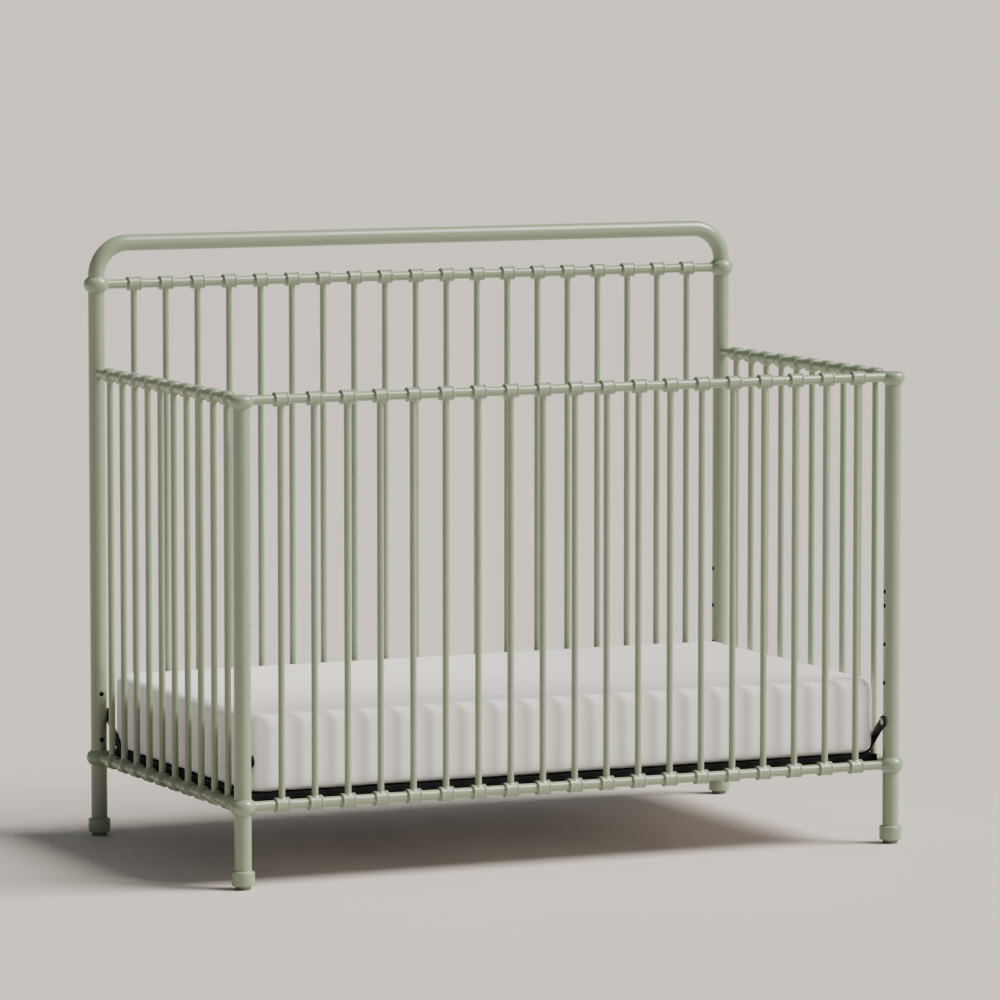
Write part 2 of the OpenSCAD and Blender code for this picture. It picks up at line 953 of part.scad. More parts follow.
back_post(-1);  // back_post_left
back_post(1);  // back_post_right
front_post(-1);  // front_post_left
front_post(1);  // front_post_right
headboard_top_tube();
long_rail(1, headboard_rail_z);  // headboard_upper_rail
long_rail(1, lower_rail_z);  // headboard_lower_rail
long_rail(-1, side_rail_z);  // front_top_rail
long_rail(-1, lower_rail_z);  // front_lower_rail
short_rail(-1, side_rail_z);  // left_top_rail
short_rail(1, side_rail_z);  // right_top_rail
short_rail(-1, lower_rail_z);  // left_lower_rail
short_rail(1, lower_rail_z);  // right_lower_rail
long_slats(1, headboard_rail_z);  // headboard_slats
long_slats(-1, side_rail_z);  // front_slats
short_slats(-1);  // left_slats
short_slats(1);  // right_slats
long_collars(1, headboard_rail_z);  // headboard_collars
long_collars(-1, side_rail_z);  // front_collars
short_collars(-1);  // left_collars
short_collars(1);  // right_collars
headboard_knuckle(-1);  // headboard_knuckle_left
headboard_knuckle(1);  // headboard_knuckle_right
lower_knuckle(-1, 1);  // lower_knuckle_back_left
lower_knuckle(1, 1);  // lower_knuckle_back_right
lower_knuckle(-1, -1);  // lower_knuckle_front_left
lower_knuckle(1, -1);  // lower_knuckle_front_right
post_cap(-1);  // post_cap_left
post_cap(1);  // post_cap_right
foot_caps();
foot_glides();
tube_couplers();
level_inserts();
toddler_rail_inserts();
bed_rail_inserts();
rail_end_plugs();
panel_bolts();
saddle_washers();
set_screws();
support_long_rail(-1);  // support_front_rail
support_long_rail(1);  // support_back_rail
support_end_rail(-1);  // support_left_rail
support_end_rail(1);  // support_right_rail
support_cross_bars();
deck_long_wires();
deck_cross_wires();
deck_springs();
hanger_arm(-1, 1);  // hanger_arm_back_left
hanger_arm(1, 1);  // hanger_arm_back_right
hanger_arm(-1, -1);  // hanger_arm_front_left
hanger_arm(1, -1);  // hanger_arm_front_right
hanger_rivets();
level_bolts();
level_washers();
mattress_core();
mattress_cover();
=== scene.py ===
# A full-size baby crib of painted steel tube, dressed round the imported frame.
# Units are metres, +Z is up and -Y faces the front, as in the frame.
import math

import bmesh
import bpy
from mathutils import Matrix, Vector


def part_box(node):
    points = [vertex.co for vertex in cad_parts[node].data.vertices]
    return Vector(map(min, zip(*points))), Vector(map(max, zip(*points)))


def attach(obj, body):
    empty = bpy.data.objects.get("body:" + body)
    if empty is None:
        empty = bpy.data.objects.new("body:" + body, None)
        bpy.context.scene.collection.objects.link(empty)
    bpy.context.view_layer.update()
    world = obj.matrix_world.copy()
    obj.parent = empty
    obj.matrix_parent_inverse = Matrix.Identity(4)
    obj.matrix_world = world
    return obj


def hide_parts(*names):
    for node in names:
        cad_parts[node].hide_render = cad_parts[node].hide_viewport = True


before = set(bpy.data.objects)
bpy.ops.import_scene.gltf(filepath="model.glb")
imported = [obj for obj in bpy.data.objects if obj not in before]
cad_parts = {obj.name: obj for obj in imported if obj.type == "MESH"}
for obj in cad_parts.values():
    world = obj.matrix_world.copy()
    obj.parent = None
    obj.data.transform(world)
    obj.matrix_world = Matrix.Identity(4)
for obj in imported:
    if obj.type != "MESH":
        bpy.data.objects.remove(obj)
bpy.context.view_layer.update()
scene = bpy.context.scene
MM = 0.001

# ---- Sizes of the real pieces ----

# Tubes
POST_R = 15.9 * MM
BEND_R = 64 * MM
RAIL_R = 9.0 * MM
SLAT_R = 6.35 * MM
LONG_SLATS = 19
SHORT_SLATS = 10

# A slat's flared end starts this far from its rail's centre, inside the collar
SLAT_ROOT = 9.5 * MM
SLAT_FLARE = 3.2 * MM
SLAT_FLARE_LEN = 6.5 * MM

# Rails swell a little where they enter a knuckle, but hardly under the flatter top of a cap
KNUCKLE_SWELL = 4.0 * MM
CAP_SWELL = 0.3 * MM
SWELL_LEN = 10 * MM

# Castings
COLLAR_R = 12.8 * MM
COLLAR_BEAD_R = 13.8 * MM
COLLAR_BEAD_W = 5.0 * MM
COLLAR_LEN = 28 * MM
COLLAR_FILLET = 1.2 * MM
KNUCKLE_R = 24.25 * MM
KNUCKLE_HALF_H = 14 * MM
CAP_R = 23.25 * MM
CAP_BELOW = 14 * MM
CAP_ABOVE = 9.8 * MM
CAP_CROWN = 1.4 * MM
PAINT_FILLET = 2 * MM

# Feet
FOOT_R = 21.5 * MM
FOOT_BEVEL = 2.6 * MM
FOOT_ROUND = 4 * MM
FOOT_EDGE = 0.5 * MM
FOOT_EDGE_DROP = 0.1 * MM
FOOT_SHOULDER_OUT = 0.4 * MM
FOOT_SHOULDER_DROP = 0.35 * MM
FOOT_SHOULDER_IN = 0.3 * MM
FOOT_FILLET = 1 * MM
GLIDE_R = 14.5 * MM
GLIDE_EDGE = 1 * MM

# Threaded inserts and the holes that they sit in
INSERT_R = 4.55 * MM
INSERT_LEN = 12 * MM
LEVEL_STEPS = 3
TODDLER_Z = 486 * MM
BED_RAIL_HEIGHTS = [188 * MM, 277 * MM]
DRILL_OVERRUN = 2 * MM
# Rings above and below a hole keep the round of the post true round it
HOLE_RING = 7 * MM

# Button-head bolts
BOLT_R = 3 * MM
BOLT_TIP = 0.5 * MM
BOLT_HEAD_R = 5.5 * MM
BOLT_HEAD_H = 3.3 * MM
BOLT_HEAD_EDGE = 0.2 * MM
BOLT_FLAT_R = 2.72 * MM
SOCKET_AF = 4 * MM
SOCKET_DEPTH = 2.2 * MM
SOCKET_CHAMFER = 0.15 * MM
SOCKET_POINT = 0.8 * MM
LEVEL_BOLT_LEN = 4.2 * MM
LEVEL_WASHER_T = 1.2 * MM
PANEL_BOLT_LEN = 40 * MM
# The panel bolts' heads sit on a thin curved washer above and on a knuckle's flat below
SADDLE_T = 0.6 * MM
KNUCKLE_SEAT = 20.5 * MM

# Straps, wire deck and springs
ARM_T = 3 * MM
ARM_HALF_W = 10 * MM
ARM_EYE_R = 11.5 * MM
ARM_EDGE = 0.5 * MM
ANGLE_W = 30 * MM
WIRE_R = 1.75 * MM
EYE_R = 3.2 * MM
LONG_WIRES = 7
CROSS_WIRES = 13
SPRING_R = 4.2 * MM
SPRING_WIRE_R = 0.8 * MM
SPRING_LEN = 40 * MM
SPRING_INSET = 2 * MM
SPRING_COILS = 12.0
SPRING_LEAD_SHARE = 0.22
HOOK_REACH = 8 * MM
HOOK_SINK = 1 * MM

# Mattress: its corners and edges, and how the cloth may move in its simulation
MATTRESS_CORNER_R = 30 * MM
MATTRESS_EDGE_R = 17 * MM
MATTRESS_CROWN = 2 * MM
FOAM_INSET = 9 * MM
VOXEL = 9 * MM
SINK = 0.5 * MM
SWELL = 3 * MM
SIM_FRAMES = 20

FLOOR_R = 150

# Sides of round things, by how large they look
POST_SIDES = 64
HOOP_SIDES = 56
BOLT_SIDES = 48
RAIL_SIDES = 40
COLLAR_SIDES = 28
SLAT_SIDES = 24

# Edges that bend more than this stay crisp
SHARP = math.radians(38)


# ---- Camera: a long lens from the front left, a little above the headboard ----

CAMERA_PLACE = (-4.964, -10.784, 1.814)
CAMERA_YAW = 24.78
CAMERA_PITCH = 5.567
CAMERA_LENS = 223.7
CAMERA_SENSOR = 36
CAMERA_REACH = 400

camera = bpy.data.objects.new("camera", bpy.data.cameras.new("camera"))
camera.data.lens = CAMERA_LENS
camera.data.sensor_width = CAMERA_SENSOR
camera.data.clip_end = CAMERA_REACH
camera.location = CAMERA_PLACE
camera.rotation_euler = (math.radians(90 - CAMERA_PITCH), 0, math.radians(-CAMERA_YAW))
scene.collection.objects.link(camera)
scene.camera = camera


# ---- Node trees ----

def add(tree, kind, inputs=None, **settings):
    """Adds one node; inputs maps a socket's name or number to a value or to what feeds it."""
    node = tree.nodes.new(kind)
    for name, value in settings.items():
        setattr(node, name, value)
    for key, value in (inputs or {}).items():
        if isinstance(value, bpy.types.Node):
            value = value.outputs[0]
        if isinstance(value, bpy.types.NodeSocket):
            tree.links.new(value, node.inputs[key])
        else:
            node.inputs[key].default_value = value
    return node


def linear(colour):
    """An sRGB hex colour as linear red, green and blue, with alpha 1."""
    shares = [int(colour[i:i + 2], 16) / 255 for i in (1, 3, 5)]
    return [c / 12.92 if c <= 0.04045 else ((c + 0.055) / 1.055) ** 2.4 for c in shares] + [1.0]


def per_metre(size_mm):
    """Texture scale at which a pattern repeats about every size_mm millimetres."""
    return 1 / (size_mm * MM)


# ---- Finishes ----

# Nearly all of a noise texture lies between these
NOISE_LOW = 0.3
NOISE_HIGH = 0.7


def new_finish(name):
    """A material with its node tree, its main shader and its object coordinates."""
    material = bpy.data.materials.new(name)
    material.use_nodes = True
    tree = material.node_tree
    place = add(tree, "ShaderNodeTexCoord").outputs["Object"]
    return material, tree, tree.nodes["Principled BSDF"], place


def powder_coat(name, dark, light, peel_mm, roughness, gloss):
    """Baked powder paint: an even colour, a soft orange-peel skin and a slightly uneven sheen."""
    drift_mm = 90
    sheen_mm = 14
    grit_mm = 0.6
    grit_share = 0.25
    uneven = 0.02
    material, tree, shader, place = new_finish(name)
    drift = add(tree, "ShaderNodeTexNoise",
                {"Vector": place, "Scale": per_metre(drift_mm), "Detail": 3})
    colour = add(tree, "ShaderNodeMix",
                 {0: drift, 6: linear(dark), 7: linear(light)}, data_type="RGBA")
    tree.links.new(colour.outputs[2], shader.inputs["Base Color"])
    sheen = add(tree, "ShaderNodeTexNoise",
                {"Vector": place, "Scale": per_metre(sheen_mm), "Detail": 4})
    rough = add(tree, "ShaderNodeMapRange", {
        0: sheen, 1: NOISE_LOW, 2: NOISE_HIGH, 3: roughness - uneven, 4: roughness + uneven})
    tree.links.new(rough.outputs[0], shader.inputs["Roughness"])
    peel = add(tree, "ShaderNodeTexNoise",
               {"Vector": place, "Scale": per_metre(peel_mm), "Detail": 2})
    grit = add(tree, "ShaderNodeTexNoise",
               {"Vector": place, "Scale": per_metre(grit_mm), "Detail": 1})
    height = add(tree, "ShaderNodeMath", {0: grit, 1: grit_share, 2: peel}, operation="MULTIPLY_ADD")
    bump = add(tree, "ShaderNodeBump", {"Strength": 0.3, "Distance": 0.05 * MM, "Height": height})
    tree.links.new(bump.outputs[0], shader.inputs["Normal"])
    shader.inputs["Coat Weight"].default_value = gloss
    shader.inputs["Coat Roughness"].default_value = 0.3
    return material


def zinc_plate(name, dark, light, roughness):
    """Electroplated zinc: bright grey metal with faint blotches and drawing marks."""
    blotch_mm = 3
    mark_mm = 0.8
    uneven = 0.08
    material, tree, shader, place = new_finish(name)
    blotch = add(tree, "ShaderNodeTexVoronoi", {"Vector": place, "Scale": per_metre(blotch_mm)})
    colour = add(tree, "ShaderNodeMix",
                 {0: blotch, 6: linear(light), 7: linear(dark)}, data_type="RGBA")
    tree.links.new(colour.outputs[2], shader.inputs["Base Color"])
    shader.inputs["Metallic"].default_value = 1
    marks = add(tree, "ShaderNodeTexNoise",
                {"Vector": place, "Scale": per_metre(mark_mm), "Detail": 3})
    rough = add(tree, "ShaderNodeMapRange", {
        0: marks, 1: NOISE_LOW, 2: NOISE_HIGH, 3: roughness - uneven, 4: roughness + uneven})
    tree.links.new(rough.outputs[0], shader.inputs["Roughness"])
    bump = add(tree, "ShaderNodeBump", {"Strength": 0.4, "Distance": 0.03 * MM, "Height": marks})
    tree.links.new(bump.outputs[0], shader.inputs["Normal"])
    return material


def moulded_plastic(name, dark, light):
    """Injection-moulded polypropylene: dull, with a fine spark-eroded grain."""
    scuff_mm = 8
    grain_mm = 0.7
    material, tree, shader, place = new_finish(name)
    scuff = add(tree, "ShaderNodeTexNoise",
                {"Vector": place, "Scale": per_metre(scuff_mm), "Detail": 5})
    colour = add(tree, "ShaderNodeMix",
                 {0: scuff, 6: linear(dark), 7: linear(light)}, data_type="RGBA")
    tree.links.new(colour.outputs[2], shader.inputs["Base Color"])
    shader.inputs["Roughness"].default_value = 0.55
    grain = add(tree, "ShaderNodeTexVoronoi", {"Vector": place, "Scale": per_metre(grain_mm)})
    bump = add(tree, "ShaderNodeBump", {"Strength": 0.5, "Distance": 0.04 * MM, "Height": grain})
    tree.links.new(bump.outputs[0], shader.inputs["Normal"])
    return material


def woven_ticking(name, shade, light, thread_mm):
    """Plain-woven cotton cover: white, dull, with its threads over and under each other.
    The threads are drawn at thread_mm, twice as coarse as the real ones, so that they show."""
    slub_mm = 25
    material, tree, shader, place = new_finish(name)
    slub = add(tree, "ShaderNodeTexNoise",
               {"Vector": place, "Scale": per_metre(slub_mm), "Detail": 6})
    colour = add(tree, "ShaderNodeMix",
                 {0: slub, 6: linear(shade), 7: linear(light)}, data_type="RGBA")
    tree.links.new(colour.outputs[2], shader.inputs["Base Color"])
    shader.inputs["Roughness"].default_value = 0.9
    shader.inputs["Sheen Weight"].default_value = 0.25
    shader.inputs["Sheen Roughness"].default_value = 0.6
    turns = add(tree, "ShaderNodeVectorMath",
                {0: place, "Scale": math.pi * per_metre(thread_mm)}, operation="SCALE")
    waves = add(tree, "ShaderNodeVectorMath", {0: turns}, operation="SINE")
    wave = add(tree, "ShaderNodeSeparateXYZ", {0: waves})
    normal = add(tree, "ShaderNodeTexCoord").outputs["Normal"]
    outward = add(tree, "ShaderNodeVectorMath", {0: normal}, operation="ABSOLUTE")
    facing = add(tree, "ShaderNodeSeparateXYZ", {0: outward})
    cloth = 0.0
    for first, second, across in ((0, 1, 2), (0, 2, 1), (1, 2, 0)):
        cross = add(tree, "ShaderNodeMath",
                    {0: wave.outputs[first], 1: wave.outputs[second]}, operation="MULTIPLY")
        cloth = add(tree, "ShaderNodeMath",
                    {0: cross, 1: facing.outputs[across], 2: cloth}, operation="MULTIPLY_ADD")
    bump = add(tree, "ShaderNodeBump", {"Strength": 0.5, "Distance": 0.12 * MM, "Height": cloth})
    tree.links.new(bump.outputs[0], shader.inputs["Normal"])
    return material


def cut_foam(name, dark, light):
    """Open-cell polyurethane foam, cut from a block: cream, matt and full of small pores."""
    pore_mm = 1.4
    material, tree, shader, place = new_finish(name)
    pores_and_painted_shade = add(tree, "ShaderNodeTexVoronoi", {"Vector": place, "Scale": per_metre(pore_mm)})
    # The colour darkens towards each pore's bottom, just where the bump sinks: painted shade in the pores
    colour = add(tree, "ShaderNodeMix",
                 {0: pores_and_painted_shade, 6: linear(dark), 7: linear(light)}, data_type="RGBA")
    tree.links.new(colour.outputs[2], shader.inputs["Base Color"])
    shader.inputs["Roughness"].default_value = 0.95
    bump = add(tree, "ShaderNodeBump", {"Strength": 0.8, "Distance": 0.3 * MM, "Height": pores_and_painted_shade})
    tree.links.new(bump.outputs[0], shader.inputs["Normal"])
    return material


sage_paint = powder_coat("sage_powder_coat", "#82937b", "#87987f", 2.6, 0.31, 0.35)
black_paint = powder_coat("black_powder_coat", "#0b0b0d", "#121214", 1.8, 0.62, 0)
# The black coat is duller than the green one and throws back less of the room
black_shader = black_paint.node_tree.nodes["Principled BSDF"]
black_shader.inputs["Specular IOR Level"].default_value = 0.25
zinc = zinc_plate("zinc_plated_steel", "#9da0a3", "#c3c5c6", 0.34)
# Near-black zinc for the inserts: partly their own dark finish, partly painted shade that makes their
# holes read dark
insert_zinc_with_hole_shade = zinc_plate("black_passivated_zinc", "#26272a", "#35373b", 0.4)
spring_zinc = zinc_plate("zinc_plated_spring_wire", "#8e9194", "#b6b8b9", 0.3)
glide_plastic = moulded_plastic("moulded_glide_plastic", "#666b5a", "#767b69")
ticking = woven_ticking("woven_mattress_ticking", "#f3efed", "#faf8f7", 1.2)
foam = cut_foam("cut_mattress_foam", "#d8c78f", "#efe4bd")


# ---- Making pieces ----

def keep(name, mesh, body, slot, *nodes):
    """Puts a finished mesh on a body, in place of the CAD nodes that it stands for."""
    piece = bpy.data.objects.new(name, mesh)
    scene.collection.objects.link(piece)
    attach(piece, body)
    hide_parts(*nodes)
    return piece


def evaluated_mesh(thing):
    """The plain mesh that an object's modifiers give; the object itself is removed."""
    depsgraph = bpy.context.evaluated_depsgraph_get()
    mesh = bpy.data.meshes.new_from_object(thing.evaluated_get(depsgraph), depsgraph=depsgraph)
    bpy.data.objects.remove(thing)
    return mesh


def grow(tree, **sizes):
    """The plain mesh that a geometry tree gives for its named sizes."""
    seed = bpy.data.objects.new(tree.name + "_seed", bpy.data.meshes.new(tree.name + "_seed"))
    scene.collection.objects.link(seed)
    modifier = seed.modifiers.new(tree.name, "NODES")
    modifier.node_group = tree
    for socket in tree.interface.items_tree:
        label = socket.name.lower().replace(" ", "_")
        if socket.in_out == "INPUT":
            modifier[socket.identifier] = sizes[label]
    return evaluated_mesh(seed)


def smooth(mesh, material):
    """Smooth faces with creases at sharp edges, all in one material."""
    mesh.shade_smooth()
    mesh.set_sharp_from_angle(angle=SHARP)
    mesh.materials.clear()
    mesh.materials.append(material)
    return mesh


def arc(middle_r, middle_z, radius, start, end, steps):
    """Points of a round stretch of a half section, from one angle to another.
    The angles are in degrees and start from straight out."""
    angles = [math.radians(start + (end - start) * i / steps) for i in range(steps + 1)]
    return [(middle_r + radius * math.cos(a), middle_z + radius * math.sin(a)) for a in angles]


def turned(profile, sides, hexagons=()):
    """Closed solid turned round Z from a half section.
    Rings whose numbers are in hexagons have six flats."""
    mesh = bmesh.new()
    rings = []
    for number, (radius, z) in enumerate(profile):
        ring = []
        for k in range(sides if radius > 0 else 1):
            angle = 2 * math.pi * k / sides
            flat = (angle + math.pi / 6) % (math.pi / 3) - math.pi / 6
            reach = radius / math.cos(flat) if number in hexagons else radius
            ring.append(mesh.verts.new((reach * math.cos(angle), reach * math.sin(angle), z)))
        rings.append(ring)
    pairs = list(zip(rings, rings[1:]))
    if len(rings[0]) > 1:
        pairs.append((rings[-1], rings[0]))
    for low, high in pairs:
        for k in range(sides):
            corners = [low[k % len(low)], low[(k + 1) % len(low)],
                       high[(k + 1) % len(high)], high[k % len(high)]]
            mesh.faces.new(dict.fromkeys(corners))
    bmesh.ops.recalc_face_normals(mesh, faces=mesh.faces)
    return mesh


def finished(mesh, name, material, place=Matrix.Identity(4)):
    """A bmesh as a named, smooth mesh in its place."""
    made = bpy.data.meshes.new(name)
    mesh.transform(place)
    mesh.to_mesh(made)
    mesh.free()
    return smooth(made, material)


# ---- Geometry trees ----

def new_tree(name, **labels):
    """A geometry tree with one named input for each size, and those inputs by label."""
    tree = bpy.data.node_groups.new(name, "GeometryNodeTree")
    for label, kind in labels.items():
        shown = label.capitalize().replace("_", " ")
        tree.interface.new_socket(shown, in_out="INPUT", socket_type="NodeSocket" + kind)
    source = tree.nodes.new("NodeGroupInput")
    return tree, dict(zip(labels, source.outputs))


def close_tree(tree, geometry, material):
    """Ends a tree: real geometry, smooth but for its creases, in one material."""
    single = add(tree, "GeometryNodeRealizeInstances", {0: geometry})
    rounded = add(tree, "GeometryNodeSetShadeSmooth",
                  {"Geometry": single, "Shade Smooth": True}, domain="FACE")
    angle = add(tree, "GeometryNodeInputMeshEdgeAngle")
    crease = add(tree, "FunctionNodeCompare", {0: angle, 1: SHARP}, operation="GREATER_THAN")
    creased = add(tree, "GeometryNodeSetShadeSmooth",
                  {"Geometry": rounded, "Selection": crease, "Shade Smooth": False}, domain="EDGE")
    painted = add(tree, "GeometryNodeSetMaterial", {"Geometry": creased, "Material": material})
    tree.interface.new_socket("Geometry", in_out="OUTPUT", socket_type="NodeSocketGeometry")
    add(tree, "NodeGroupOutput", {0: painted})
    return tree


def row_of(tree, given, one):
    """A row of copies of one shape, turned alike."""
    points = add(
        tree, "GeometryNodeMeshLine",
        {"Count": given["count"], "Start Location": given["first"], "Offset": given["step"]},
        mode="OFFSET")
    return add(tree, "GeometryNodeInstanceOnPoints",
               {"Points": points, "Instance": one, "Rotation": given["turn"]})


def tube_row_tree():
    """Round bars or tubes in a row, with ends that flare into their welds."""
    tree, given = new_tree(
        "tube_row", material="Material", count="Int", first="Vector", step="Vector", turn="Vector",
        low="Float", high="Float", radius="Float", flare="Float", flare_length="Float",
        flare_rings="Int", sides="Int")
    # Rings stand at both ends only: the first and last few spread over the flares
    index = add(tree, "GeometryNodeInputIndex")
    total = add(tree, "ShaderNodeMath",
                {0: given["flare_rings"], 1: 2.0, 2: 2.0}, operation="MULTIPLY_ADD")
    last = add(tree, "ShaderNodeMath", {0: total, 1: 1.0}, operation="SUBTRACT")
    rest = add(tree, "ShaderNodeMath", {0: last, 1: index}, operation="SUBTRACT")
    nearest = add(tree, "ShaderNodeMath", {0: index, 1: rest}, operation="MINIMUM")
    share = add(tree, "ShaderNodeMath", {0: nearest, 1: given["flare_rings"]}, operation="DIVIDE")
    depth = add(tree, "ShaderNodeMath", {0: share, 1: given["flare_length"]}, operation="MULTIPLY")
    from_low = add(tree, "ShaderNodeMath", {0: given["low"], 1: depth}, operation="ADD")
    from_high = add(tree, "ShaderNodeMath", {0: given["high"], 1: depth}, operation="SUBTRACT")
    at_low = add(tree, "FunctionNodeCompare", {0: index, 1: rest}, operation="LESS_THAN")
    height = add(tree, "GeometryNodeSwitch",
                 {0: at_low, 1: from_high, 2: from_low}, input_type="FLOAT")
    line = add(tree, "GeometryNodeCurvePrimitiveLine", {"Start": (0, 0, 0), "End": (0, 0, 1)})
    path = add(tree, "GeometryNodeResampleCurve", {"Curve": line, "Count": total}, mode="COUNT")
    place = add(tree, "ShaderNodeCombineXYZ", {2: height})
    placed = add(tree, "GeometryNodeSetPosition", {"Geometry": path, "Position": place})
    opening = add(tree, "ShaderNodeMath", {0: 1.0, 1: share}, operation="SUBTRACT")
    curl = add(tree, "ShaderNodeMath", {0: opening, 1: 2.0}, operation="POWER")
    reach = add(tree, "ShaderNodeMath",
                {0: curl, 1: given["flare"], 2: given["radius"]}, operation="MULTIPLY_ADD")
    ring = add(tree, "GeometryNodeCurvePrimitiveCircle", {"Resolution": given["sides"], "Radius": 1.0})
    bar = add(tree, "GeometryNodeCurveToMesh",
              {"Curve": placed, "Profile Curve": ring, "Scale": reach, "Fill Caps": True})
    return close_tree(tree, row_of(tree, given, bar), given["material"])


def collar_row_tree():
    """Cast collars along a rail: a body between two round beads, with paint in every corner."""
    crowding = 0.55
    tree, given = new_tree(
        "collar_row", material="Material", count="Int", first="Vector", step="Vector", turn="Vector",
        rail_radius="Float", body_radius="Float", bead_radius="Float", bead_width="Float",
        length="Float", paint_fillet="Float", rings="Int", sides="Int")
    line = add(tree, "GeometryNodeCurvePrimitiveLine", {"Start": (-1, 0, 0), "End": (1, 0, 0)})
    path = add(tree, "GeometryNodeResampleCurve", {"Curve": line, "Count": given["rings"]}, mode="COUNT")
    share = add(tree, "ShaderNodeSeparateXYZ", {0: add(tree, "GeometryNodeInputPosition")})
    half = add(tree, "ShaderNodeMath", {0: given["length"], 1: 0.5}, operation="MULTIPLY")
    reach = add(tree, "ShaderNodeMath", {0: half, 1: given["paint_fillet"]}, operation="ADD")
    away = add(tree, "ShaderNodeMath", {0: share}, operation="ABSOLUTE")
    # Rings crowd towards the beads
    crowded = add(tree, "ShaderNodeMath", {0: away, 1: crowding}, operation="POWER")
    out = add(tree, "ShaderNodeMath", {0: crowded, 1: reach}, operation="MULTIPLY")
    side = add(tree, "ShaderNodeMath", {0: share}, operation="SIGN")
    along = add(tree, "ShaderNodeMath", {0: out, 1: side}, operation="MULTIPLY")
    stored = add(tree, "GeometryNodeStoreNamedAttribute",
                 {"Geometry": path, "Name": "out", "Value": out}, data_type="FLOAT", domain="POINT")
    place = add(tree, "ShaderNodeCombineXYZ", {0: along})
    placed = add(tree, "GeometryNodeSetPosition", {"Geometry": stored, "Position": place})
    station = add(tree, "GeometryNodeInputNamedAttribute", {"Name": "out"}, data_type="FLOAT")
    bead_r = add(tree, "ShaderNodeMath", {0: given["bead_width"], 1: 0.5}, operation="MULTIPLY")
    middle = add(tree, "ShaderNodeMath", {0: half, 1: bead_r}, operation="SUBTRACT")
    offset = add(tree, "ShaderNodeMath", {0: station, 1: middle}, operation="SUBTRACT")
    chord = add(tree, "ShaderNodeMath", {0: offset, 1: offset}, operation="MULTIPLY")
    bead_r2 = add(tree, "ShaderNodeMath", {0: bead_r, 1: bead_r}, operation="MULTIPLY")
    left = add(tree, "ShaderNodeMath", {0: bead_r2, 1: chord}, operation="SUBTRACT")
    inside = add(tree, "ShaderNodeMath", {0: left, 1: 0.0}, operation="MAXIMUM")
    rise = add(tree, "ShaderNodeMath", {0: inside}, operation="SQRT")
    seat = add(tree, "ShaderNodeMath", {0: given["bead_radius"], 1: bead_r}, operation="SUBTRACT")
    bead = add(tree, "ShaderNodeMath", {0: seat, 1: rise}, operation="ADD")
    cast = add(tree, "ShaderNodeMath", {0: bead, 1: given["body_radius"], 2: given["paint_fillet"]},
               operation="SMOOTH_MAX")
    past = add(tree, "ShaderNodeMath", {0: reach, 1: station}, operation="SUBTRACT")
    thinning = add(tree, "ShaderNodeMath", {0: past, 1: given["paint_fillet"]}, operation="DIVIDE")
    curl = add(tree, "ShaderNodeMath", {0: thinning, 1: 2.0}, operation="POWER")
    weld = add(tree, "ShaderNodeMath", {0: curl, 1: given["paint_fillet"], 2: given["rail_radius"]},
               operation="MULTIPLY_ADD")
    beyond = add(tree, "FunctionNodeCompare", {0: station, 1: half}, operation="GREATER_THAN")
    radius = add(tree, "GeometryNodeSwitch", {0: beyond, 1: cast, 2: weld}, input_type="FLOAT")
    ring = add(tree, "GeometryNodeCurvePrimitiveCircle", {"Resolution": given["sides"], "Radius": 1.0})
    collar = add(tree, "GeometryNodeCurveToMesh",
                 {"Curve": placed, "Profile Curve": ring, "Scale": radius, "Fill Caps": True})
    return close_tree(tree, row_of(tree, given, collar), given["material"])


def bent_tube_tree():
    """A tube along a path of straight runs, bent at its corners."""
    tree, given = new_tree(
        "bent_tube", material="Material", path="Object", bend_radius="Float", bend_rings="Int",
        radius="Float", sides="Int")
    route = add(tree, "GeometryNodeObjectInfo", {"Object": given["path"]}).outputs["Geometry"]
    bent = add(tree, "GeometryNodeFilletCurve",
               {"Curve": route, "Radius": given["bend_radius"]}, mode="POLY")
    tree.links.new(given["bend_rings"], bent.inputs["Count"])
    ring = add(tree, "GeometryNodeCurvePrimitiveCircle",
               {"Resolution": given["sides"], "Radius": given["radius"]})
    tube = add(tree, "GeometryNodeCurveToMesh",
               {"Curve": bent, "Profile Curve": ring, "Fill Caps": True})
    return close_tree(tree, tube, given["material"])


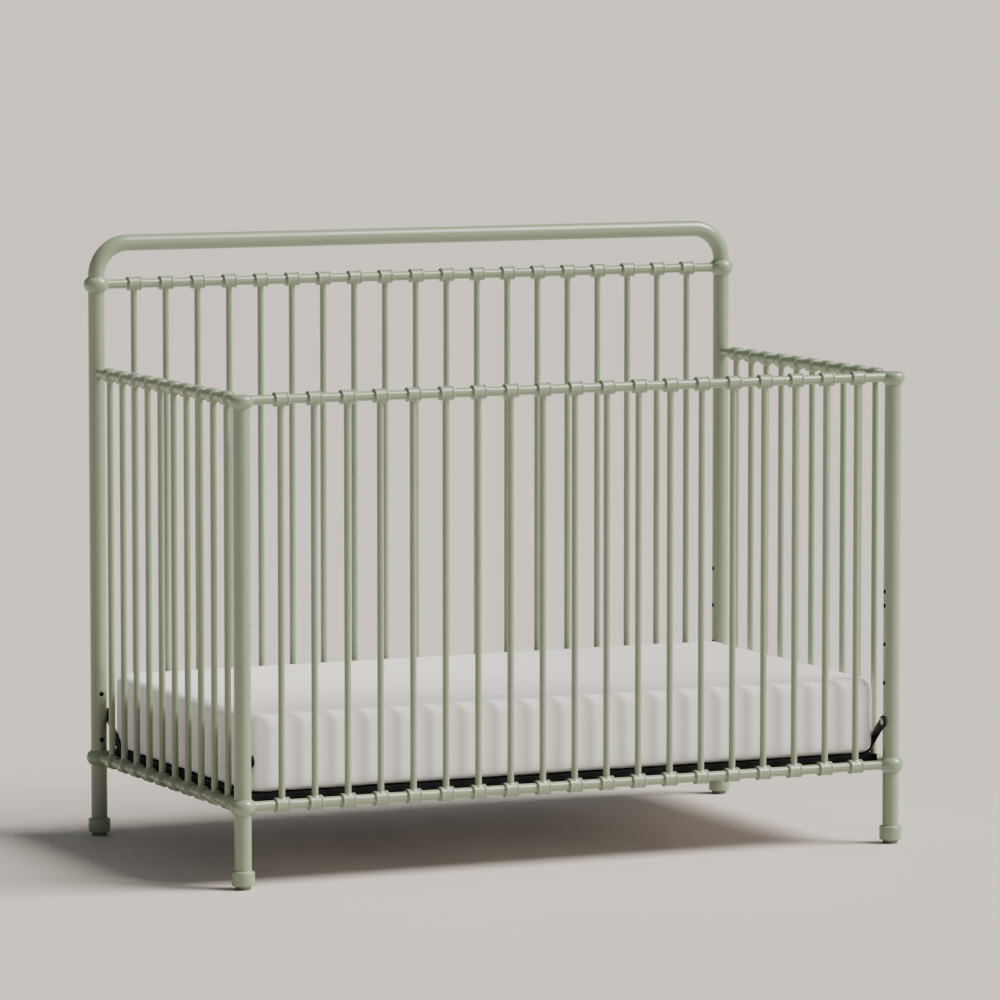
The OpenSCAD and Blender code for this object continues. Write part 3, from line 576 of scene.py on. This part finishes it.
def spring_row_tree():
    """Extension springs in a row: a close coil that narrows to a straight lead at each end.
    One lead goes on as a hook over the frame's flange."""
    lead_start = 0.03
    hook_steps = 8
    tree, given = new_tree(
        "spring_row", material="Material", count="Int", first="Vector", step="Vector", turn="Vector",
        length="Float", coil_radius="Float", wire_radius="Float", coils="Float", lead_share="Float",
        hook_reach="Float", hook_rise="Float", points="Int", sides="Int")
    line = add(tree, "GeometryNodeCurvePrimitiveLine", {"Start": (0, 0, 0), "End": (1, 0, 0)})
    path = add(tree, "GeometryNodeResampleCurve", {"Curve": line, "Count": given["points"]}, mode="COUNT")
    share = add(tree, "ShaderNodeSeparateXYZ", {0: add(tree, "GeometryNodeInputPosition")})
    back = add(tree, "ShaderNodeMath", {0: 1.0, 1: share}, operation="SUBTRACT")
    nearest = add(tree, "ShaderNodeMath", {0: share, 1: back}, operation="MINIMUM")
    full = add(tree, "ShaderNodeMapRange",
               {0: nearest, 1: lead_start, 2: given["lead_share"], 3: 0.0, 4: 1.0},
               interpolation_type="SMOOTHSTEP")
    radius = add(tree, "ShaderNodeMath", {0: full, 1: given["coil_radius"]}, operation="MULTIPLY")
    turns = add(tree, "ShaderNodeMath", {0: given["coils"], 1: 2 * math.pi}, operation="MULTIPLY")
    angle = add(tree, "ShaderNodeMath", {0: share, 1: turns}, operation="MULTIPLY")
    cosine = add(tree, "ShaderNodeMath", {0: angle}, operation="COSINE")
    sine = add(tree, "ShaderNodeMath", {0: angle}, operation="SINE")
    place = add(tree, "ShaderNodeCombineXYZ", {
        0: add(tree, "ShaderNodeMath", {0: share, 1: given["length"]}, operation="MULTIPLY"),
        1: add(tree, "ShaderNodeMath", {0: radius, 1: cosine}, operation="MULTIPLY"),
        2: add(tree, "ShaderNodeMath", {0: radius, 1: sine}, operation="MULTIPLY")})
    coil = add(tree, "GeometryNodeSetPosition", {"Geometry": path, "Position": place})
    hook_back = add(tree, "ShaderNodeMath", {0: given["hook_reach"], 1: -1.0}, operation="MULTIPLY")
    hook_end = add(tree, "ShaderNodeCombineXYZ", {0: hook_back, 2: given["hook_rise"]})
    hook_bend = add(tree, "ShaderNodeCombineXYZ", {0: hook_back})
    hook = add(tree, "GeometryNodeCurvePrimitiveBezierSegment",
               {"Resolution": hook_steps, "Start": (0, 0, 0), "Start Handle": hook_bend,
                "End Handle": hook_bend, "End": hook_end})
    ring = add(tree, "GeometryNodeCurvePrimitiveCircle",
               {"Resolution": given["sides"], "Radius": given["wire_radius"]})
    wires = tree.nodes.new("GeometryNodeJoinGeometry")
    for curve in (coil, hook):
        wire = add(tree, "GeometryNodeCurveToMesh",
                   {"Curve": curve, "Profile Curve": ring, "Fill Caps": True})
        tree.links.new(wire.outputs[0], wires.inputs[0])
    return close_tree(tree, row_of(tree, given, wires), given["material"])


def wire_row_tree():
    """Deck wires in a row, each with a closed eye at both ends."""
    tree, given = new_tree(
        "wire_row", material="Material", count="Int", first="Vector", step="Vector", turn="Vector",
        half_length="Float", wire_radius="Float", eye_radius="Float", sides="Int", eye_points="Int")
    back = add(tree, "ShaderNodeMath", {0: given["half_length"], 1: -1.0}, operation="MULTIPLY")
    ends = [add(tree, "ShaderNodeCombineXYZ", {0: x}) for x in (back, given["half_length"])]
    line = add(tree, "GeometryNodeCurvePrimitiveLine", {"Start": ends[0], "End": ends[1]})
    out = add(tree, "ShaderNodeMath", {0: given["half_length"], 1: given["eye_radius"]}, operation="ADD")
    out_back = add(tree, "ShaderNodeMath", {0: out, 1: -1.0}, operation="MULTIPLY")
    eye = add(tree, "GeometryNodeCurvePrimitiveCircle",
              {"Resolution": given["eye_points"], "Radius": given["eye_radius"]})
    ring = add(tree, "GeometryNodeCurvePrimitiveCircle",
               {"Resolution": given["sides"], "Radius": given["wire_radius"]})
    wires = tree.nodes.new("GeometryNodeJoinGeometry")
    for x in (out, out_back):
        away = add(tree, "ShaderNodeCombineXYZ", {0: x})
        moved = add(tree, "GeometryNodeTransform", {"Geometry": eye, "Translation": away})
        bent = add(tree, "GeometryNodeCurveToMesh", {"Curve": moved, "Profile Curve": ring})
        tree.links.new(bent.outputs[0], wires.inputs[0])
    straight = add(tree, "GeometryNodeCurveToMesh",
                   {"Curve": line, "Profile Curve": ring, "Fill Caps": True})
    tree.links.new(straight.outputs[0], wires.inputs[0])
    return close_tree(tree, row_of(tree, given, wires), given["material"])


def placed_copies_tree():
    """Copies of one fitting at marked places, each turned to face the way its mark does."""
    tree, given = new_tree("placed_copies", material="Material", fitting="Object", places="Object")
    shape = add(tree, "GeometryNodeObjectInfo", {"Object": given["fitting"]}).outputs["Geometry"]
    marks = add(tree, "GeometryNodeObjectInfo", {"Object": given["places"]}).outputs["Geometry"]
    facing = add(tree, "GeometryNodeInputNamedAttribute", {"Name": "facing"}, data_type="FLOAT_VECTOR")
    turn = add(tree, "FunctionNodeAlignRotationToVector", {"Vector": facing}, axis="Z")
    copies = add(tree, "GeometryNodeInstanceOnPoints",
                 {"Points": marks, "Instance": shape, "Rotation": turn})
    return close_tree(tree, copies, given["material"])


tube_row = tube_row_tree()
collar_row = collar_row_tree()
bent_tube = bent_tube_tree()
spring_row = spring_row_tree()
wire_row = wire_row_tree()
placed_copies = placed_copies_tree()

# Turns that lay an upright row piece along X or Y, and one that swings a lying piece to Y
ALONG_X = (0, math.radians(90), 0)
ALONG_Y = (math.radians(-90), 0, 0)
QUARTER = (0, 0, math.radians(90))


# ---- Where the frame's pieces are ----

def middle(node):
    """The middle of a node's box at rest."""
    low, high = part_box(node)
    return (low + high) / 2


HALF_X = middle("front_post_right").x
FRONT_Y = middle("front_post_right").y
BACK_Y = middle("back_post_right").y
LOW_Z = middle("front_lower_rail").z
SIDE_Z = middle("front_top_rail").z
HEAD_Z = middle("headboard_upper_rail").z
LONG_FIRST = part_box("front_slats")[0].x + SLAT_R
LONG_STEP = -2 * LONG_FIRST / (LONG_SLATS - 1)
SHORT_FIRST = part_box("left_slats")[0].y + SLAT_R
SHORT_STEP = -2 * SHORT_FIRST / (SHORT_SLATS - 1)
SIDES = {"left": -HALF_X, "right": HALF_X}
ENDS = {"front": FRONT_Y, "back": BACK_Y}

# ---- Slats and collars ----


def slats(name, node, count, first, step, high_z):
    """A row of slats between the lower rail and the rail at high_z."""
    mesh = grow(tube_row, material=sage_paint, count=count, first=first, step=step, turn=(0, 0, 0),
                low=LOW_Z + SLAT_ROOT, high=high_z - SLAT_ROOT, radius=SLAT_R, flare=SLAT_FLARE,
                flare_length=SLAT_FLARE_LEN, flare_rings=5, sides=SLAT_SIDES)
    keep(name, mesh, "root", "sage_powder_coat", node)


def collars(name, node, count, first, step, turn, high_z):
    """The collars of one panel, on its lower and upper rails; first holds x and y."""
    both = bmesh.new()
    for z in (LOW_Z, high_z):
        mesh = grow(collar_row, material=sage_paint, count=count, first=(*first, z), step=step,
                    turn=turn, rail_radius=RAIL_R, body_radius=COLLAR_R, bead_radius=COLLAR_BEAD_R,
                    bead_width=COLLAR_BEAD_W, length=COLLAR_LEN, paint_fillet=COLLAR_FILLET,
                    rings=31, sides=COLLAR_SIDES)
        both.from_mesh(mesh)
    keep(name, finished(both, name, sage_paint), "root", "sage_powder_coat", node)


def slat_panel(panel, count, first, step, turn, high_z):
    """One panel's slats and collars; first holds the first slat's x and y."""
    slats(panel + "_slat_tubes", panel + "_slats", count, (*first, 0), step, high_z)
    collars(panel + "_slat_collars", panel + "_collars", count, first, step, turn, high_z)


for panel, y, high_z in (("front", FRONT_Y, SIDE_Z), ("headboard", BACK_Y, HEAD_Z)):
    slat_panel(panel, LONG_SLATS, (LONG_FIRST, y), (LONG_STEP, 0, 0), (0, 0, 0), high_z)
for panel, x in SIDES.items():
    slat_panel(panel, SHORT_SLATS, (x, SHORT_FIRST), (0, SHORT_STEP, 0), QUARTER, SIDE_Z)

# ---- Rails and the headboard's bent tube ----


def rail(node, turn, place, low, high, swell):
    """One rail between two castings, with its ends swollen."""
    mesh = grow(tube_row, material=sage_paint, count=1, first=place, step=(0, 0, 0), turn=turn,
                low=low, high=high, radius=RAIL_R, flare=swell, flare_length=SWELL_LEN,
                flare_rings=6, sides=RAIL_SIDES)
    keep(node + "_tube", mesh, "root", "sage_powder_coat", node)


for node, swell in (("front_top_rail", CAP_SWELL), ("front_lower_rail", KNUCKLE_SWELL),
                    ("headboard_upper_rail", KNUCKLE_SWELL), ("headboard_lower_rail", KNUCKLE_SWELL)):
    low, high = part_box(node)
    rail(node, ALONG_X, (0, middle(node).y, middle(node).z), low.x, high.x, swell)
for node, swell in (("left_lower_rail", KNUCKLE_SWELL), ("right_lower_rail", KNUCKLE_SWELL),
                    ("left_top_rail", CAP_SWELL), ("right_top_rail", CAP_SWELL)):
    low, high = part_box(node)
    rail(node, ALONG_Y, (middle(node).x, 0, middle(node).z), low.y, high.y, swell)

TOP_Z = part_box("headboard_top_tube")[1].z - POST_R
hoop = bpy.data.curves.new("hoop_path", "CURVE")
hoop.dimensions = "3D"
run = hoop.splines.new("POLY")
route = [(-HALF_X, HEAD_Z), (-HALF_X, TOP_Z), (HALF_X, TOP_Z), (HALF_X, HEAD_Z)]
run.points.add(len(route) - 1)
for point, (x, z) in zip(run.points, route):
    point.co = (x, BACK_Y, z, 1)
hoop_path = bpy.data.objects.new("hoop_path", hoop)
scene.collection.objects.link(hoop_path)
hoop_mesh = grow(bent_tube, material=sage_paint, path=hoop_path, bend_radius=BEND_R, bend_rings=22,
                 radius=POST_R, sides=HOOP_SIDES)
bpy.data.objects.remove(hoop_path)
keep("headboard_hoop", hoop_mesh, "root", "sage_powder_coat", "headboard_top_tube")

# ---- Posts, drilled for their threaded inserts ----

insert_low, insert_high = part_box("level_inserts")
LOWEST_LEVEL = insert_low.z + INSERT_R
HIGHEST_LEVEL = insert_high.z - INSERT_R
LEVELS = [LOWEST_LEVEL + (HIGHEST_LEVEL - LOWEST_LEVEL) * level / LEVEL_STEPS
          for level in range(LEVEL_STEPS + 1)]


def drilled_post(name, node, holes):
    """A post with blind holes; holes are heights with the direction that each faces."""
    low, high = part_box(node)
    place = middle(node)
    heights = sorted({z + side * HOLE_RING for z, direction in holes for side in (-1, 1)})
    profile = ([(0, low.z), (POST_R, low.z)] + [(POST_R, z) for z in heights]
               + [(POST_R, high.z), (0, high.z)])
    upright = Matrix.Translation((place.x, place.y, 0))
    plain = finished(turned(profile, POST_SIDES), name, sage_paint, upright)
    post = bpy.data.objects.new(name, plain)
    scene.collection.objects.link(post)
    drill = bmesh.new()
    middle_out = POST_R - INSERT_LEN / 2 + DRILL_OVERRUN / 2
    for z, direction in holes:
        axis = Vector(direction)
        turn = axis.to_track_quat("Z", "Y").to_matrix().to_4x4()
        at = Matrix.Translation(Vector((place.x, place.y, z)) + axis * middle_out)
        bmesh.ops.create_cone(drill, cap_ends=True, segments=28, radius1=INSERT_R,
                              radius2=INSERT_R, depth=INSERT_LEN + DRILL_OVERRUN, matrix=at @ turn)
    bit = bpy.data.objects.new(name + "_drill", finished(drill, name + "_drill", sage_paint))
    scene.collection.objects.link(bit)
    cut = post.modifiers.new("drill", "BOOLEAN")
    cut.operation = "DIFFERENCE"
    cut.solver = "EXACT"
    cut.object = bit
    mesh = smooth(evaluated_mesh(post), sage_paint)
    bpy.data.objects.remove(bit)
    keep(name, mesh, "root", "sage_powder_coat", node)


for side, x in SIDES.items():
    inward = (-math.copysign(1, x), 0, 0)
    front_holes = [(z, inward) for z in LEVELS + [TODDLER_Z]]
    back_holes = [(z, inward) for z in LEVELS] + [(z, (0, -1, 0)) for z in BED_RAIL_HEIGHTS]
    drilled_post("front_" + side + "_post_tube", "front_post_" + side, front_holes)
    drilled_post("back_" + side + "_post_tube", "back_post_" + side, back_holes)

# ---- Knuckles, caps, feet and glides ----


def ball_arc(ball_r, half_h):
    """Middle and radius of the round side of a ball that meets the post half_h below its middle."""
    centre = (ball_r ** 2 - POST_R ** 2 - half_h ** 2) / (2 * (ball_r - POST_R))
    return centre, ball_r - centre


def paint_curl(ball_r, half_h, fillet):
    """Lower half of a ball's section: from the post, round a small fillet, out to the widest ring."""
    centre, radius = ball_arc(ball_r, half_h)
    curl_r = POST_R + fillet
    drop = math.sqrt((radius + fillet) ** 2 - (curl_r - centre) ** 2)
    meet = math.degrees(math.atan2(drop, curl_r - centre))
    return arc(curl_r, -drop, fillet, 180, 180 - meet, 5) + arc(centre, 0, radius, -meet, 0, 12)[1:]


def knuckle_section():
    """A ball round a post, the same above and below."""
    below = paint_curl(KNUCKLE_R, KNUCKLE_HALF_H, PAINT_FILLET)
    above = [(r, -z) for r, z in reversed(below[:-1])]
    core = POST_R - PAINT_FILLET
    return [(core, below[0][1])] + below + above + [(core, above[-1][1])]


def cap_section():
    """A ball below, with a rounded shoulder and a slightly crowned top above."""
    crown_steps = 6
    below = paint_curl(CAP_R, CAP_BELOW, PAINT_FILLET)
    crown_edge = CAP_R - CAP_ABOVE
    shoulder = arc(crown_edge, 0, CAP_ABOVE, 0, 84, 12)[1:]
    crown_r = (crown_edge ** 2 + CAP_CROWN ** 2) / (2 * CAP_CROWN)
    crown_middle = CAP_ABOVE + CAP_CROWN - crown_r
    crown = []
    for k in range(crown_steps - 1, -1, -1):
        out = crown_edge * k / crown_steps
        crown.append((out, crown_middle + math.sqrt(crown_r ** 2 - out ** 2)))
    return [(0, below[0][1])] + below + shoulder + crown


def foot_section():
    """A cup with a round lower edge, a bevelled upper edge and a little paint up the post."""
    low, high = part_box("foot_caps")
    bevel_r = FOOT_R - FOOT_BEVEL
    bottom = arc(FOOT_R - FOOT_ROUND, low.z + FOOT_ROUND, FOOT_ROUND, -90, 0, 7)
    edge_z = high.z - FOOT_BEVEL - FOOT_EDGE_DROP
    edge = arc(FOOT_R - FOOT_EDGE, edge_z, FOOT_EDGE, 0, 45, 3)
    shoulder = [(bevel_r + FOOT_SHOULDER_OUT, high.z - FOOT_SHOULDER_DROP),
                (bevel_r - FOOT_SHOULDER_IN, high.z)]
    curl = arc(POST_R + FOOT_FILLET, high.z + FOOT_FILLET, FOOT_FILLET, -90, -180, 4)
    return [(0, low.z)] + bottom + edge + shoulder + curl + [(0, high.z + FOOT_FILLET)]


def glide_section():
    """A round pad that stands on the floor, up to the cup's underside."""
    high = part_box("foot_caps")[0].z
    edge = arc(GLIDE_R - GLIDE_EDGE, GLIDE_EDGE, GLIDE_EDGE, -90, 0, 4)
    return [(0, 0)] + edge + [(GLIDE_R, high), (0, high)]


def marks(name, spots):
    """Marked places for fittings; a spot is a point and the way that its fitting's +Z faces."""
    mesh = bpy.data.meshes.new(name)
    mesh.from_pydata([place for place, facing in spots], [], [])
    facing = mesh.attributes.new("facing", "FLOAT_VECTOR", "POINT")
    facing.data.foreach_set("vector", [part for place, way in spots for part in way])
    thing = bpy.data.objects.new(name, mesh)
    scene.collection.objects.link(thing)
    return thing


def fittings(name, section, sides, spots, material, body, slot, nodes, hexagons=()):
    """Copies of one turned fitting at its spots."""
    shape = finished(turned(section, sides, hexagons), name + "_one", material)
    one = bpy.data.objects.new(name + "_one", shape)
    scene.collection.objects.link(one)
    places = marks(name + "_places", spots)
    mesh = grow(placed_copies, material=material, fitting=one, places=places)
    bpy.data.objects.remove(one)
    bpy.data.objects.remove(places)
    return keep(name, mesh, body, slot, *nodes)


UP = (0, 0, 1)


def castings(name, section, sides, places, nodes):
    """Painted castings that stand upright on the posts."""
    fittings(name, section, sides, [(place, UP) for place in places], sage_paint, "root",
             "sage_powder_coat", nodes)


CORNERS = [(end, side) for end in ENDS for side in SIDES]
castings("headboard_knuckle_balls", knuckle_section(), POST_SIDES,
         [(x, BACK_Y, HEAD_Z) for x in SIDES.values()],
         ["headboard_knuckle_" + side for side in SIDES])
castings("lower_knuckle_balls", knuckle_section(), POST_SIDES,
         [(SIDES[side], ENDS[end], LOW_Z) for end, side in CORNERS],
         ["lower_knuckle_" + end + "_" + side for end, side in CORNERS])
castings("post_top_caps", cap_section(), POST_SIDES,
         [(x, FRONT_Y, SIDE_Z) for x in SIDES.values()],
         ["post_cap_" + side for side in SIDES])
FEET = [(x, y, 0) for x in SIDES.values() for y in ENDS.values()]
castings("foot_cap_cups", foot_section(), POST_SIDES, FEET, ["foot_caps"])
fittings("foot_glide_pads", glide_section(), BOLT_SIDES, [(foot, UP) for foot in FEET],
         glide_plastic, "root", "glide_plastic", ["foot_glides"])

# ---- Bolts ----


def button_section(length):
    """Half section of a button-head bolt along Z, with its head's underside at 0.
    Its tip is below, and the last points are a hexagon socket in the head's top."""
    dome_r = (BOLT_HEAD_R ** 2 + BOLT_HEAD_H ** 2) / (2 * BOLT_HEAD_H)
    start = math.degrees(math.asin((dome_r - BOLT_HEAD_H) / dome_r))
    rim = math.degrees(math.acos(BOLT_FLAT_R / dome_r))
    shank = [(0, -length), (BOLT_R - BOLT_TIP, -length), (BOLT_R, BOLT_TIP - length),
             (BOLT_R, 0), (BOLT_HEAD_R - BOLT_HEAD_EDGE, 0)]
    dome = arc(0, BOLT_HEAD_H - dome_r, dome_r, start, rim, 7)
    flat = dome[-1][1]
    wall = SOCKET_AF / 2
    socket = [(wall + SOCKET_CHAMFER, flat), (wall, flat - SOCKET_CHAMFER),
              (wall, flat - SOCKET_DEPTH), (0, flat - SOCKET_DEPTH - SOCKET_POINT)]
    return shank + dome + socket


def bolts(name, node, length, spots, body):
    """Bolts whose heads' undersides are at their spots, each with its head facing its own way."""
    section = button_section(length)
    last = len(section) - 1
    fittings(name, section, BOLT_SIDES, spots, zinc, body, "zinc_steel", [node],
             hexagons=(last - 3, last - 2, last - 1))


LEVEL_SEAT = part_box("hanger_arm_front_right")[0].x - LEVEL_WASHER_T
PANEL_SEATS = ((SIDE_Z, POST_R + SADDLE_T), (LOW_Z, KNUCKLE_SEAT))
level_spots = [((math.copysign(LEVEL_SEAT, x), y, LEVELS[0]), (-math.copysign(1, x), 0, 0))
               for x in SIDES.values() for y in ENDS.values()]
panel_spots = [((x, BACK_Y + seat, z), (0, 1, 0)) for x in SIDES.values() for z, seat in PANEL_SEATS]
bolts("level_bolt_screws", "level_bolts", LEVEL_BOLT_LEN, level_spots, "mattress_support")
bolts("panel_bolt_screws", "panel_bolts", PANEL_BOLT_LEN, panel_spots, "root")

# ---- Hanger arms ----


def hanger_arm(side, end):
    """A flat strap from its bolt's eye down to its rivet, with softened edges."""
    round_steps = 16
    node = "hanger_arm_" + end + "_" + side
    low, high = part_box(node)
    inward = -math.copysign(1, ENDS[end])
    eye = Vector((middle(node).x, ENDS[end], high.z - ARM_EYE_R))
    foot_y = (low.y if inward < 0 else high.y) - inward * ARM_HALF_W
    foot = Vector((eye.x, foot_y, low.z + ARM_HALF_W))
    run = foot - eye
    slope = math.atan2(run.z, run.y)
    outline = []
    # A half round at the rivet, and a larger part of a round at the eye
    for centre, radius, start, finish in ((foot, ARM_HALF_W, -90, 90), (eye, ARM_EYE_R, 62, 298)):
        for k in range(round_steps + 1):
            angle = slope + math.radians(start + (finish - start) * k / round_steps)
            outline.append(centre + Vector((0, math.cos(angle), math.sin(angle))) * radius)
    strap = bmesh.new()
    back = Vector((ARM_T / 2, 0, 0))
    face = strap.faces.new([strap.verts.new(point - back) for point in outline])
    grown = bmesh.ops.extrude_face_region(strap, geom=[face])
    front = [part for part in grown["geom"] if isinstance(part, bmesh.types.BMVert)]
    bmesh.ops.translate(strap, vec=(ARM_T, 0, 0), verts=front)
    bmesh.ops.recalc_face_normals(strap, faces=strap.faces)
    rims = [e for e in strap.edges if abs(e.verts[0].co.x - e.verts[1].co.x) < ARM_T / 2]
    bmesh.ops.bevel(strap, geom=rims, offset=ARM_EDGE, segments=2, affect="EDGES", profile=0.5)
    keep(node + "_strap", finished(strap, node + "_strap", black_paint), "mattress_support",
         "black_powder_coat", node)


for side in SIDES:
    for end in ENDS:
        hanger_arm(side, end)

# ---- Wire deck and its springs ----

DECK_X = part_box("support_right_rail")[1].x - ANGLE_W
DECK_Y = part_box("support_back_rail")[1].y - ANGLE_W
FLANGE_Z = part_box("support_right_rail")[1].z


def deck_wires(name, node, count, first, step, turn, half):
    """One way of the deck's wires; half is half a wire's length between its eyes."""
    mesh = grow(wire_row, material=black_paint, count=count, first=first, step=step, turn=turn,
                half_length=half, wire_radius=WIRE_R, eye_radius=EYE_R, sides=12, eye_points=16)
    keep(name, mesh, "mattress_support", "black_powder_coat", node)


def deck_spring_rows(rows):
    """All the springs as one piece; a row is a count, a first place, a step, a turn and a hook's rise."""
    every = bmesh.new()
    for count, first, step, turn, rise in rows:
        mesh = grow(spring_row, material=spring_zinc, count=count, first=first, step=step, turn=turn,
                    length=SPRING_LEN, coil_radius=SPRING_R, wire_radius=SPRING_WIRE_R,
                    coils=SPRING_COILS, lead_share=SPRING_LEAD_SHARE, hook_reach=HOOK_REACH,
                    hook_rise=rise, points=140, sides=6)
        every.from_mesh(mesh)
    keep("deck_spring_coils", finished(every, "deck_spring_coils", spring_zinc), "mattress_support",
         "zinc_steel", "deck_springs")


long_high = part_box("deck_long_wires")[1]
cross_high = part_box("deck_cross_wires")[1]
LONG_WIRE_Y = long_high.y - WIRE_R
CROSS_WIRE_X = cross_high.x - WIRE_R
LONG_WIRE_Z = middle("deck_long_wires").z
CROSS_WIRE_Z = middle("deck_cross_wires").z
long_step = (0, 2 * LONG_WIRE_Y / (LONG_WIRES - 1), 0)
cross_step = (2 * CROSS_WIRE_X / (CROSS_WIRES - 1), 0, 0)
deck_wires("deck_long_wire_rods", "deck_long_wires", LONG_WIRES, (0, -LONG_WIRE_Y, LONG_WIRE_Z),
           long_step, (0, 0, 0), long_high.x)
deck_wires("deck_cross_wire_rods", "deck_cross_wires", CROSS_WIRES,
           (-CROSS_WIRE_X, 0, CROSS_WIRE_Z), cross_step, QUARTER, cross_high.y)
long_rise = FLANGE_Z - LONG_WIRE_Z - HOOK_SINK
cross_rise = FLANGE_Z - CROSS_WIRE_Z - HOOK_SINK
spring_rows = []
for way in (-1, 1):
    long_first = (way * (DECK_X - SPRING_INSET), -LONG_WIRE_Y, LONG_WIRE_Z)
    long_turn = (0, 0, 0 if way < 0 else math.pi)
    spring_rows.append((LONG_WIRES, long_first, long_step, long_turn, long_rise))
    cross_first = (-CROSS_WIRE_X, way * (DECK_Y - SPRING_INSET), CROSS_WIRE_Z)
    cross_turn = (0, 0, -way * math.pi / 2)
    spring_rows.append((CROSS_WIRES, cross_first, cross_step, cross_turn, cross_rise))
deck_spring_rows(spring_rows)

# ---- Mattress ----


def rounded_block(name, low, high, inset):
    """A block with round corners and edges, inset all round from a box."""
    level = 1e-6
    block = bmesh.new()
    bmesh.ops.create_cube(block, size=1)
    size = high - low - Vector((2, 2, 2)) * inset
    centre = (low + high) / 2
    bmesh.ops.scale(block, vec=size, verts=block.verts)
    bmesh.ops.translate(block, vec=centre, verts=block.verts)
    upright = [e for e in block.edges if abs(e.verts[0].co.z - e.verts[1].co.z) > size.z / 2]
    bmesh.ops.bevel(block, geom=upright, offset=MATTRESS_CORNER_R - inset, segments=12,
                    affect="EDGES", profile=0.5)
    flat = [e for e in block.edges if abs(e.verts[0].co.z - e.verts[1].co.z) < level
            and len({round(f.normal.z, 2) for f in e.link_faces}) == 2]
    bmesh.ops.bevel(block, geom=flat, offset=MATTRESS_EDGE_R, segments=6,
                    affect="EDGES", profile=0.5)
    return finished(block, name, foam)


def swollen(low, high):
    """Cloth simulation: the cover is blown up a little, as its foam does.
    No point sinks more than SINK or swells more than SWELL, and the underside stays flat."""
    crowned = high + Vector((0, 0, MATTRESS_CROWN))
    blank = bpy.data.objects.new(
        "mattress_blank", rounded_block("mattress_blank", low, crowned, 0))
    scene.collection.objects.link(blank)
    remesh = blank.modifiers.new("remesh", "REMESH")
    remesh.mode = "VOXEL"
    remesh.voxel_size = VOXEL
    cover = bpy.data.objects.new("mattress_cover_cloth", evaluated_mesh(blank))
    scene.collection.objects.link(cover)
    before = [(v.co.copy(), v.normal.copy()) for v in cover.data.vertices]
    cloth = cover.modifiers.new("cloth", "CLOTH")
    cloth.settings.quality = 6
    cloth.settings.mass = 0.3
    cloth.settings.tension_stiffness = 20
    cloth.settings.compression_stiffness = 20
    cloth.settings.bending_stiffness = 2
    cloth.settings.use_pressure = True
    cloth.settings.uniform_pressure_force = 4
    cloth.settings.effector_weights.gravity = 0
    cloth.point_cache.frame_end = SIM_FRAMES
    for number in range(1, SIM_FRAMES + 1):
        scene.frame_set(number)
    mesh = evaluated_mesh(cover)
    scene.frame_set(1)
    cover = bpy.data.objects.new("mattress_cover_cloth", mesh)
    scene.collection.objects.link(cover)
    # The straps leave no room at the ends, so the cover swells only to the front, the back and up
    least = low + Vector((0, -SWELL, 0))
    most = high + Vector((0, SWELL, SWELL))
    for vertex, (start, normal) in zip(cover.data.vertices, before):
        push = min(max((vertex.co - start).dot(normal), -SINK), SWELL)
        vertex.co = start + normal * push
        for axis in range(3):
            vertex.co[axis] = min(max(vertex.co[axis], least[axis]), most[axis])
    finer = cover.modifiers.new("finer", "SUBSURF")
    finer.levels = 1
    finer.render_levels = 1
    return evaluated_mesh(cover)


low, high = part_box("mattress_cover")
cover = keep("mattress_cloth_cover", smooth(swollen(low, high), ticking), "mattress",
             "mattress_ticking", "mattress_cover")
block = keep("mattress_foam_block", rounded_block("mattress_foam_block", low, high, FOAM_INSET),
             "mattress", "mattress_foam", "mattress_core")

# ---- CAD pieces that show as they are ----

CARRIED = {
    "tube_couplers": zinc,
    "rail_end_plugs": zinc,
    "saddle_washers": zinc,
    "set_screws": zinc,
    "level_washers": zinc,
    # The inserts' near-black is partly painted shade for the holes that they sit in
    "level_inserts": insert_zinc_with_hole_shade,
    "toddler_rail_inserts": insert_zinc_with_hole_shade,
    "bed_rail_inserts": insert_zinc_with_hole_shade,
    "hanger_rivets": black_paint,
    "support_front_rail": black_paint,
    "support_back_rail": black_paint,
    "support_left_rail": black_paint,
    "support_right_rail": black_paint,
    "support_cross_bars": black_paint,
}
for node, material in CARRIED.items():
    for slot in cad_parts[node].material_slots:
        slot.material = material

# ---- Stage: a wide pale floor, one big soft lamp and a pale room ----

# Sealed screed: pale, matt and faintly cloudy over a metre or two
floor_finish, floor_tree, floor_shader, floor_place = new_finish("sealed_pale_screed")
cloud = add(floor_tree, "ShaderNodeTexNoise", {"Vector": floor_place, "Scale": 0.6, "Detail": 4})
tint = add(floor_tree, "ShaderNodeMix",
           {0: cloud, 6: linear("#cdc7c0"), 7: linear("#d3cec8")}, data_type="RGBA")
floor_tree.links.new(tint.outputs[2], floor_shader.inputs["Base Color"])
floor_shader.inputs["Roughness"].default_value = 0.6
disc = bmesh.new()
bmesh.ops.create_circle(disc, cap_ends=True, segments=96, radius=FLOOR_R)
floor = bpy.data.objects.new("floor", finished(disc, "floor", floor_finish))
scene.collection.objects.link(floor)


def sun(name, azimuth, elevation, strength, spread, colour):
    """A broad light; its bearing turns from the front to the right, and angles are in degrees."""
    lamp = bpy.data.lights.new(name, "SUN")
    lamp.energy = strength
    lamp.angle = math.radians(spread)
    lamp.color = linear(colour)[:3]
    thing = bpy.data.objects.new(name, lamp)
    bearing = math.radians(azimuth)
    rise = math.radians(elevation)
    level = math.cos(rise)
    towards = Vector((math.sin(bearing) * level, -math.cos(bearing) * level, math.sin(rise)))
    thing.rotation_euler = towards.to_track_quat("Z", "Y").to_euler()
    scene.collection.objects.link(thing)


sun("window_light", 62, 46, 7.4, 30, "#fff6ee")
room = bpy.data.worlds.new("pale_room")
room.use_nodes = True
room_light = room.node_tree.nodes["Background"]
room_light.inputs["Color"].default_value = linear("#dcdcde")
room_light.inputs["Strength"].default_value = 0.28
scene.world = room
